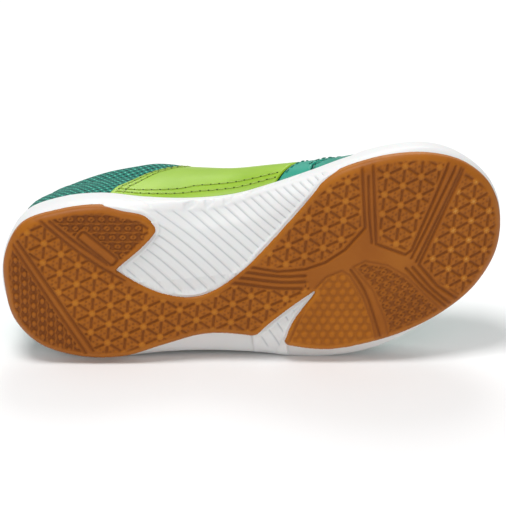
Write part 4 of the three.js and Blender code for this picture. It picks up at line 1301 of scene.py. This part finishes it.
def edge_shares(count, length, edge=1.0):
    """Shares from 0 to 1, closer together near both ends."""
    plain = np.linspace(0, 1, count)
    middle = plain[(plain > edge / length) & (plain < 1 - edge / length)]
    near = np.array([0.15, 0.35, 0.6, 0.85]) * edge / length
    return np.unique(np.concatenate([[0], near, middle, 1 - near, [1]]))


def low_share(x):
    return 0.5 / (ridge(x) - lip_top(x))


def quarter_place(side, across, up):
    """A place on the side panel, at shares across it and up it."""
    table = OUTER_SIDE if side > 0 else INNER_SIDE
    opening = table.opening()
    x = mix(QUARTER_REAR[2][0], QUARTER_FRONT[2][0], across) * SOLE_LENGTH
    for _ in range(16):
        t = mix(low_share(x), np.interp(x, SIDE_X, opening) - 0.012, up)
        z = mix(lip_top(x), ridge(x), t)
        x = mix(x, mix(edge_x(QUARTER_REAR, z), edge_x(QUARTER_FRONT, z), across), 0.5)
    return side_surface(x, side, t)


def make_quarter(name, side, node):
    up, across = np.meshgrid(edge_shares(44, 45), edge_shares(72, 70), indexing="ij")
    grid = quarter_place(side, across, up)
    points, faces, uv = shell(grid, OVERLAY_GAP + OVERLAY_THICKNESS, OVERLAY_GAP - 0.15)
    return make_piece(name, points, faces, LIME, [node], uv=uv)


def vamp_place(across, girth):
    """A place on the band over the ball. girth runs from -1 at the inner sole to 1 at the outer sole."""
    t = mix(0.015, 1, np.sin(np.pi / 2 * (1 - np.abs(girth))) ** 0.9)
    x = band_place(VAMP_REAR, VAMP_FRONT, across, t)
    outer, inner = side_surface(x, 1, t), side_surface(x, -1, t)
    return np.where((girth > 0)[..., None], outer, inner)


def make_vamp():
    girth, across = np.meshgrid(2 * edge_shares(90, 130) - 1, edge_shares(22, 15), indexing="ij")
    grid = vamp_place(across, girth)
    points, faces, uv = shell(grid, OVERLAY_GAP + OVERLAY_THICKNESS - 0.1, OVERLAY_GAP - 0.15)
    return make_piece("vamp_band", points, faces, TEAL, ["vamp_panel"], uv=uv)


def toe_wrap_spokes():
    share = np.linspace(0.636, TOE_CENTRE, 60)
    fan = np.linspace(90, -90, 50)[1:-1]
    at = np.concatenate([share, np.full(len(fan), TOE_CENTRE), share[::-1]])
    degrees = np.concatenate([np.full(60, 90.0), fan, np.full(60, -90.0)])
    return Spokes(at, degrees)


def toe_wrap_row(spokes, share):
    low, top = lip_top(spokes.x), ridge(spokes.x)
    table = np.array(TOE_WRAP_TOP) * (SOLE_LENGTH, INSTEP_HEIGHT)
    limit = np.interp(spokes.edge_x, table[:, 0], table[:, 1])
    start = low_share(spokes.x) + 0.9 * toe_bumper(spokes.edge_x) / (top - low)
    high = np.maximum((limit - low) / (top - low), start + 0.01)
    return spokes.upper(mix(start, high, share))


def make_toe_wrap():
    spokes = toe_wrap_spokes()
    grid = np.array([toe_wrap_row(spokes, share) for share in edge_shares(22, 20)])
    points, faces, uv = shell(grid, OVERLAY_GAP + 0.7, OVERLAY_GAP - 0.1)
    return make_piece("toe_wrap_sheet", points, faces, TEAL, ["toe_wrap"], uv=uv)


def make_backstay():
    degrees = np.linspace(180 - BACKSTAY_DEGREES, 180 + BACKSTAY_DEGREES, 30)
    spokes = Spokes(np.full(30, HEEL_CENTRE), degrees)
    opening = spokes.opening()
    rows = []
    for share in edge_shares(40, 45):
        t = mix(low_share(spokes.x), opening - 0.04, share)
        below = (opening - t) * (ridge(spokes.x) - lip_top(spokes.x))
        rows.append(spokes.upper(t, COLLAR_SWELL * collar_bulge(below)))
    points, faces, uv = shell(np.array(rows), OVERLAY_GAP + OVERLAY_THICKNESS, OVERLAY_GAP - 0.15)
    return make_piece("backstay_strip", points, faces, TEAL, ["backstay"], uv=uv)


def arch_height(x, across):
    """The upper's height at a distance across from the spine."""
    def form(name):
        inner, outer = (np.interp(x, SIDE_X, getattr(side, name)) for side in (INNER_SIDE, OUTER_SIDE))
        return np.where(across > 0, outer, inner)
    share = np.minimum(1, np.abs(across) / form("cup")) ** form("square")
    return mix(lip_top(x), ridge(x), (1 - share) ** (1 / form("square")))


def arch_point(x, across, raised=0):
    """A point over the throat, raised along the arch's normal."""
    x, across = np.broadcast_arrays(np.asarray(x, float), np.asarray(across, float))
    step = 0.5
    normal = np.stack([
        arch_height(x - step, across) - arch_height(x + step, across),
        arch_height(x, across - step) - arch_height(x, across + step),
        np.full(x.shape, 2 * step)], -1)
    normal = unit(normal)
    point = np.stack([x, spine(x) + across, arch_height(x, across)], -1)
    return point + normal * np.broadcast_to(raised, x.shape)[..., None]


def throat_edge(share):
    """(x, across) along the throat's edge, from the inner rear round the front to the outer rear."""
    share = np.asarray(share, float)
    side = np.where(share < 0.5, -1, 1)
    back = np.abs(share - 0.5) * 2
    at = mix(THROAT_FRONT + 0.004, EYESTAY_BACK, back**1.15)
    half = BALL_WIDTH * read(THROAT_ROWS, 1, at)
    return at * SOLE_LENGTH, side * half * smooth(0, 0.06, back)


def eyestay_place(share, out):
    """A place on the eyestay: share along it and out from the throat's edge, from 0 to 1."""
    share, out = np.broadcast_arrays(share, out)
    x, across = throat_edge(share)
    side = np.where(share < 0.5, -1, 1)
    back = np.abs(share - 0.5) * 2
    front = (EYESTAY_FRONT - THROAT_FRONT) * SOLE_LENGTH * (1 - smooth(0, 0.22, back))
    wide = BALL_WIDTH * EYESTAY_BAND * smooth(0, 0.16, back)
    return x + front * out, across + side * wide * out


def make_eyestay():
    share, out = np.meshgrid(edge_shares(150, 150), edge_shares(16, 11), indexing="ij")
    x, across = eyestay_place(share, out)
    grid = arch_point(x, across)
    points, faces, uv = shell(grid, OVERLAY_GAP + OVERLAY_THICKNESS + 0.3, OVERLAY_GAP)
    return make_piece("eyestay_band", points, faces, TEAL, ["eyestay"], uv=uv)


def make_tongue():
    at = np.linspace(TONGUE_ROWS[0][0], TONGUE_ROWS[-1][0], 70)
    half = BALL_WIDTH * read(TONGUE_ROWS, 1, at)
    across = np.linspace(-1, 1, 40)
    x, _ = np.meshgrid(at * SOLE_LENGTH, across, indexing="ij")
    spread = half[:, None] * np.sin(across * math.pi / 2)[None]
    grid = arch_point(x, spread, -(UPPER_WALL + TONGUE_GAP))
    puff = 0.3 * np.cos(spread / 2.2)
    grid = grid + outward(grid, normals_of(grid)) * puff[..., None]
    points, faces, uv = shell(grid, 0, -TONGUE_THICKNESS, round_edge=2.2)
    piece = make_piece("padded_tongue", points, faces, MESH, ["tongue"], uv=uv)
    return piece


def make_insole():
    spokes = ring_of_spokes(60, 24)
    edge = spokes.cup - UPPER_WALL - INSOLE_GAP
    rows = []
    for share, lift in INSOLE_PROFILE:
        rows.append(spokes.place(share * edge, lambda x: footbed(x) + GAP + INSOLE_THICKNESS * lift))
    grid = np.array(rows)
    uv = grid[..., :2].reshape(-1, 2)
    points, faces, first = merge_ends(grid, grid_faces(*grid.shape[:2], ring=True))
    return make_piece("sock_insole", points, faces, LINING, ["insole"], uv=uv[first])


# Laces, eyelets and stitches

def eyelet_place(row, side):
    at = mix(FIRST_EYELET, LAST_EYELET, row / (EYELET_ROWS - 1))
    half = BALL_WIDTH * read(THROAT_ROWS, 1, at) + EYELET_SETBACK
    return np.array([at * SOLE_LENGTH, side * half])


def sweep(path, up, widths, heights, around=10):
    """A strap along a path with an oval section. Returns points, faces and weave coordinates."""
    along = unit(np.gradient(path, axis=0))
    side = unit(np.cross(along, up))
    lift = np.cross(side, along)
    angle = np.arange(around) / around * 2 * np.pi
    corner = np.stack([np.sign(np.cos(angle)) * np.abs(np.cos(angle)) ** 0.7, np.sin(angle)], -1)
    rings = (path[:, None] + side[:, None] * corner[None, :, :1] * widths[:, None, None] / 2
             + lift[:, None] * corner[None, :, 1:] * heights[:, None, None] / 2)
    run = running_length(path, 0)
    uv = np.stack([np.repeat(run, around), np.tile(angle * 1.1, len(path))], -1)
    return rings.reshape(-1, 3), tube_faces(len(path), around), uv


def tube_faces(rings, around):
    """Faces of a closed tube of rings."""
    faces = [list(face) for face in grid_faces(rings, around, ring=True)]
    return faces + [list(range(around)), list(range((rings - 1) * around, rings * around))[::-1]]


def lace_strand(start, end, over):
    """One strand from eyelet to eyelet over the tongue. over lifts it where the strands cross."""
    share = np.linspace(0, 1, 41)
    flat = start + (end - start) * share[:, None]
    inner = min(abs(start[1]), abs(end[1])) - EYELET_SETBACK
    climb = smooth(inner * 0.55, inner + 2.0, np.abs(flat[:, 1]))
    height = mix(-0.3, OVERLAY_THICKNESS + OVERLAY_GAP + 1.2, climb)
    height = height + over * np.exp(-((share - 0.5) / 0.16) ** 2)
    height = height - DIVE_DEPTH * (1 - smooth(0, 0.055, share) + smooth(0.945, 1, share))
    path, above = (arch_point(flat[:, 0], flat[:, 1], height + raised) for raised in (0, 1))
    narrow = 1 - 0.35 * (1 - smooth(0, 0.08, share)) - 0.35 * smooth(0.92, 1, share)
    return sweep(path, above - path, LACE_WIDTH * narrow, np.full(41, LACE_THICKNESS))


def join(parts):
    """Joins lists of points, faces and weave coordinates."""
    points, faces, uvs, first = [], [], [], 0
    for some, more, uv in parts:
        points.append(some)
        faces += [[corner + first for corner in face] for face in more]
        uvs.append(uv)
        first += len(some)
    return np.concatenate(points), faces, np.concatenate(uvs)


def make_lace():
    strands = [lace_strand(eyelet_place(0, -1), eyelet_place(0, 1), 0)]
    for row in range(EYELET_ROWS - 1):
        for side, over in ((-1, 0.8), (1, -0.5)):
            strands.append(lace_strand(eyelet_place(row, side), eyelet_place(row + 1, -side), over))
    points, faces, uv = join(strands)
    nodes = [f"lace_cross_{row + 1}" for row in range(EYELET_ROWS - 1)]
    return make_piece("woven_lace", points, faces, LACE, nodes, uv=uv)


def eyelet_ring(row, side):
    """A punched rim round one eyelet."""
    x, across = eyelet_place(row, side)
    raised = OVERLAY_GAP + OVERLAY_THICKNESS + 0.35
    centre = arch_point(x, across, raised)
    normal = arch_point(x, across, raised + 1) - centre
    first = unit(np.cross(normal, (1, 0, 0)))
    second = np.cross(normal, first)
    around, section = EYELET_STEPS
    angle = np.linspace(0, 2 * np.pi, around, endpoint=False)
    spin = np.linspace(0, 2 * np.pi, section, endpoint=False)
    out = first * np.cos(angle)[:, None] + second * np.sin(angle)[:, None]
    radius = EYELET_HOLE / 2 + EYELET_RIM[0] * np.cos(spin)
    ring = centre + out[:, None] * radius[:, None] + normal * EYELET_RIM[1] * np.sin(spin)[:, None]
    faces = grid_faces(around + 1, section, ring=True) % (around * section)
    return ring.reshape(-1, 3), [list(face) for face in faces], np.zeros((around * section, 2))


def make_eyelets():
    points, faces, uv = join([eyelet_ring(row, side) for row in range(EYELET_ROWS) for side in (-1, 1)])
    return make_piece("eyelet_rims", points, faces, RIM, uv=uv)


def along_path(path, lift):
    """Places, directions and up vectors of the stitches along a path."""
    run = running_length(path, 0)
    marks = np.arange(STITCH_PITCH / 2, run[-1] - STITCH_PITCH / 4, STITCH_PITCH)

    def at(values, where):
        return np.stack([np.interp(where, run, values[:, k]) for k in range(3)], -1)

    ahead = at(path, np.minimum(marks + 0.3, run[-1])) - at(path, np.maximum(marks - 0.3, 0))
    return at(path, marks), unit(ahead), unit(at(lift, marks))


def stitch_parts(path, lift):
    """Short thread loops along a path, as flattened drops."""
    length, width, height = STITCH_SIZE
    around, rows = 7, 6
    angle = np.arange(around) / around * 2 * np.pi
    share = np.linspace(0, 1, rows)
    swell = np.sin(np.clip(share, 0.03, 0.97) * np.pi)[:, None, None] ** 0.5
    uv = np.stack([np.repeat(share * length, around), np.tile(angle * 0.3, rows)], -1)
    parts = []
    for centre, ahead, up in zip(*along_path(path, lift)):
        side = np.cross(ahead, up)
        section = side * np.cos(angle)[:, None] * width / 2 + up * np.sin(angle)[:, None] * height / 2
        ring = centre + ahead * ((share - 0.5) * length)[:, None, None] + section * swell
        parts.append((ring.reshape(-1, 3), tube_faces(rows, around), uv))
    return parts


def pinhole_parts(path, lift):
    """Needle holes between the stitches, as shallow dark lenses whose colour is painted shade in the holes.
    """
    angle = np.arange(8) / 8 * 2 * np.pi
    faces = [[k, (k + 1) % 8, 8] for k in range(8)] + [[(k + 1) % 8, k, 9] for k in range(8)]
    parts = []
    for centre, ahead, up in zip(*along_path(path, lift)):
        side = np.cross(ahead, up)
        middle = centre + ahead * STITCH_PITCH / 2
        rim = middle + (ahead * np.cos(angle)[:, None] + side * np.sin(angle)[:, None]) * NEEDLE_HOLE
        points = np.concatenate([rim, [middle + up * 0.1], [middle - up * 0.15]])
        parts.append((points, faces, np.zeros((10, 2))))
    return parts


def raised_path(beside, path, raised):
    """A path raised off a surface, and the surface's normals, from a line that lies beside it."""
    normal = outward(path, unit(np.cross(np.gradient(path, axis=0), beside - path)))
    return path + normal * raised, normal


def panel_path(place, first, second, raised, step):
    """A stitch line over a panel, where place takes two shares and step leads to the line beside it."""
    return raised_path(place(first + step[0], second + step[1]), place(first, second), raised)


def make_stitches():
    raised = OVERLAY_GAP + OVERLAY_THICKNESS + 0.12
    lime, teal, holes = [], [], []
    steps = np.linspace(0.02, 0.985, 160)
    for side in (-1, 1):
        place = functools.partial(quarter_place, side)
        lines = [(steps, 0 * steps + up, (0, 0.01)) for up in QUARTER_STITCHES_UP]
        lines += [(0 * steps + across, steps, (0.01, 0)) for across in QUARTER_STITCHES_ACROSS]
        for across, up, step in lines:
            path = panel_path(place, across, up, raised, step)
            lime += stitch_parts(*path)
            holes += pinhole_parts(*path)
    for side in (-1, 1):
        girth = side * np.linspace(0.02, 0.97, 160)
        for across in VAMP_STITCHES:
            teal += stitch_parts(*panel_path(vamp_place, 0 * girth + across, girth, raised, (0.01, 0)))
    spokes = toe_wrap_spokes()
    path = toe_wrap_row(spokes, TOE_WRAP_STITCHES)
    beside = toe_wrap_row(spokes, TOE_WRAP_STITCHES + 0.04)
    teal += stitch_parts(*raised_path(beside, path, OVERLAY_GAP + 0.8))
    for out in EYESTAY_STITCHES:
        x, across = eyestay_place(np.linspace(0.01, 0.99, 300), np.full(300, out))
        path, above = (arch_point(x, across, raised + lift) for lift in (0.3, 1.3))
        teal += stitch_parts(path, above - path)
    for name, parts, material, slot in (
            ("lime_stitches", lime, LIME_THREAD, "lime_synthetic"),
            ("teal_stitches", teal, TEAL_THREAD, "teal_synthetic"),
            ("needle_holes", holes, PINHOLE, "lime_synthetic")):
        points, faces, uv = join(parts)
        make_piece(name, points, faces, material, uv=uv)


# The room

def make_camera():
    back = np.array([0, -math.sin(CAMERA_TILT), -math.cos(CAMERA_TILT)])
    right = np.array([1.0, 0, 0])
    up = np.cross(back, right)
    place = to_row([np.array(CAMERA_OVER) + back * CAMERA_DISTANCE])[0]
    lean = (math.sin(CAMERA_ROLL) * right + math.cos(CAMERA_ROLL) * up) @ AXES
    look = unit(place - to_row([AIM])[0])
    sideways = unit(np.cross(lean, look))
    turn = Matrix([list(sideways), list(np.cross(look, sideways)), list(look)]).transposed().to_4x4()
    turn.translation = place.tolist()
    camera = bpy.data.objects.new("camera", bpy.data.cameras.new("camera"))
    bpy.context.scene.collection.objects.link(camera)
    camera.matrix_world = turn
    camera.data.sensor_width = 36
    camera.data.lens = 36 * CAMERA_DISTANCE * PIXELS_PER_MM / PICTURE_SIZE
    camera.data.clip_end = 50
    bpy.context.scene.camera = camera


def add_light(name, place, size, power):
    light = bpy.data.lights.new(name, "AREA")
    light.shape = "DISK"
    light.size = size
    light.energy = power
    lamp = bpy.data.objects.new(name, light)
    bpy.context.scene.collection.objects.link(lamp)
    lamp.location = place
    direction = -lamp.location.normalized()
    lamp.rotation_euler = direction.to_track_quat("-Z", "Y").to_euler()


def make_room():
    mesh = bpy.data.meshes.new("floor")
    corners = [(FLOOR_HALF * x, FLOOR_HALF * y, 0) for x, y in ((-1, -1), (1, -1), (1, 1), (-1, 1))]
    mesh.from_pydata(corners, [], [(0, 1, 2, 3)])
    mesh.materials.append(Surface("floor", 0.9, Base_Color=grey(0.9)).material)
    floor = bpy.data.objects.new("floor", mesh)
    bpy.context.scene.collection.objects.link(floor)
    world = bpy.data.worlds.new("room")
    world.use_nodes = True
    background = world.node_tree.nodes["Background"].inputs
    background["Color"].default_value = grey(1)
    background["Strength"].default_value = ROOM_LIGHT
    bpy.context.scene.world = world
    for light in LIGHTS:
        add_light(*light)
    bpy.context.scene.view_settings.view_transform = "Standard"


make_camera()
make_room()
make_outsole()
make_midsole()
make_upper()
make_quarter("lime_quarter_outer", 1, "quarter_panel_outer")
make_quarter("lime_quarter_inner", -1, "quarter_panel_inner")
make_vamp()
make_toe_wrap()
make_backstay()
make_eyestay()
make_tongue()
make_insole()
make_lace()
make_eyelets()
make_stitches()
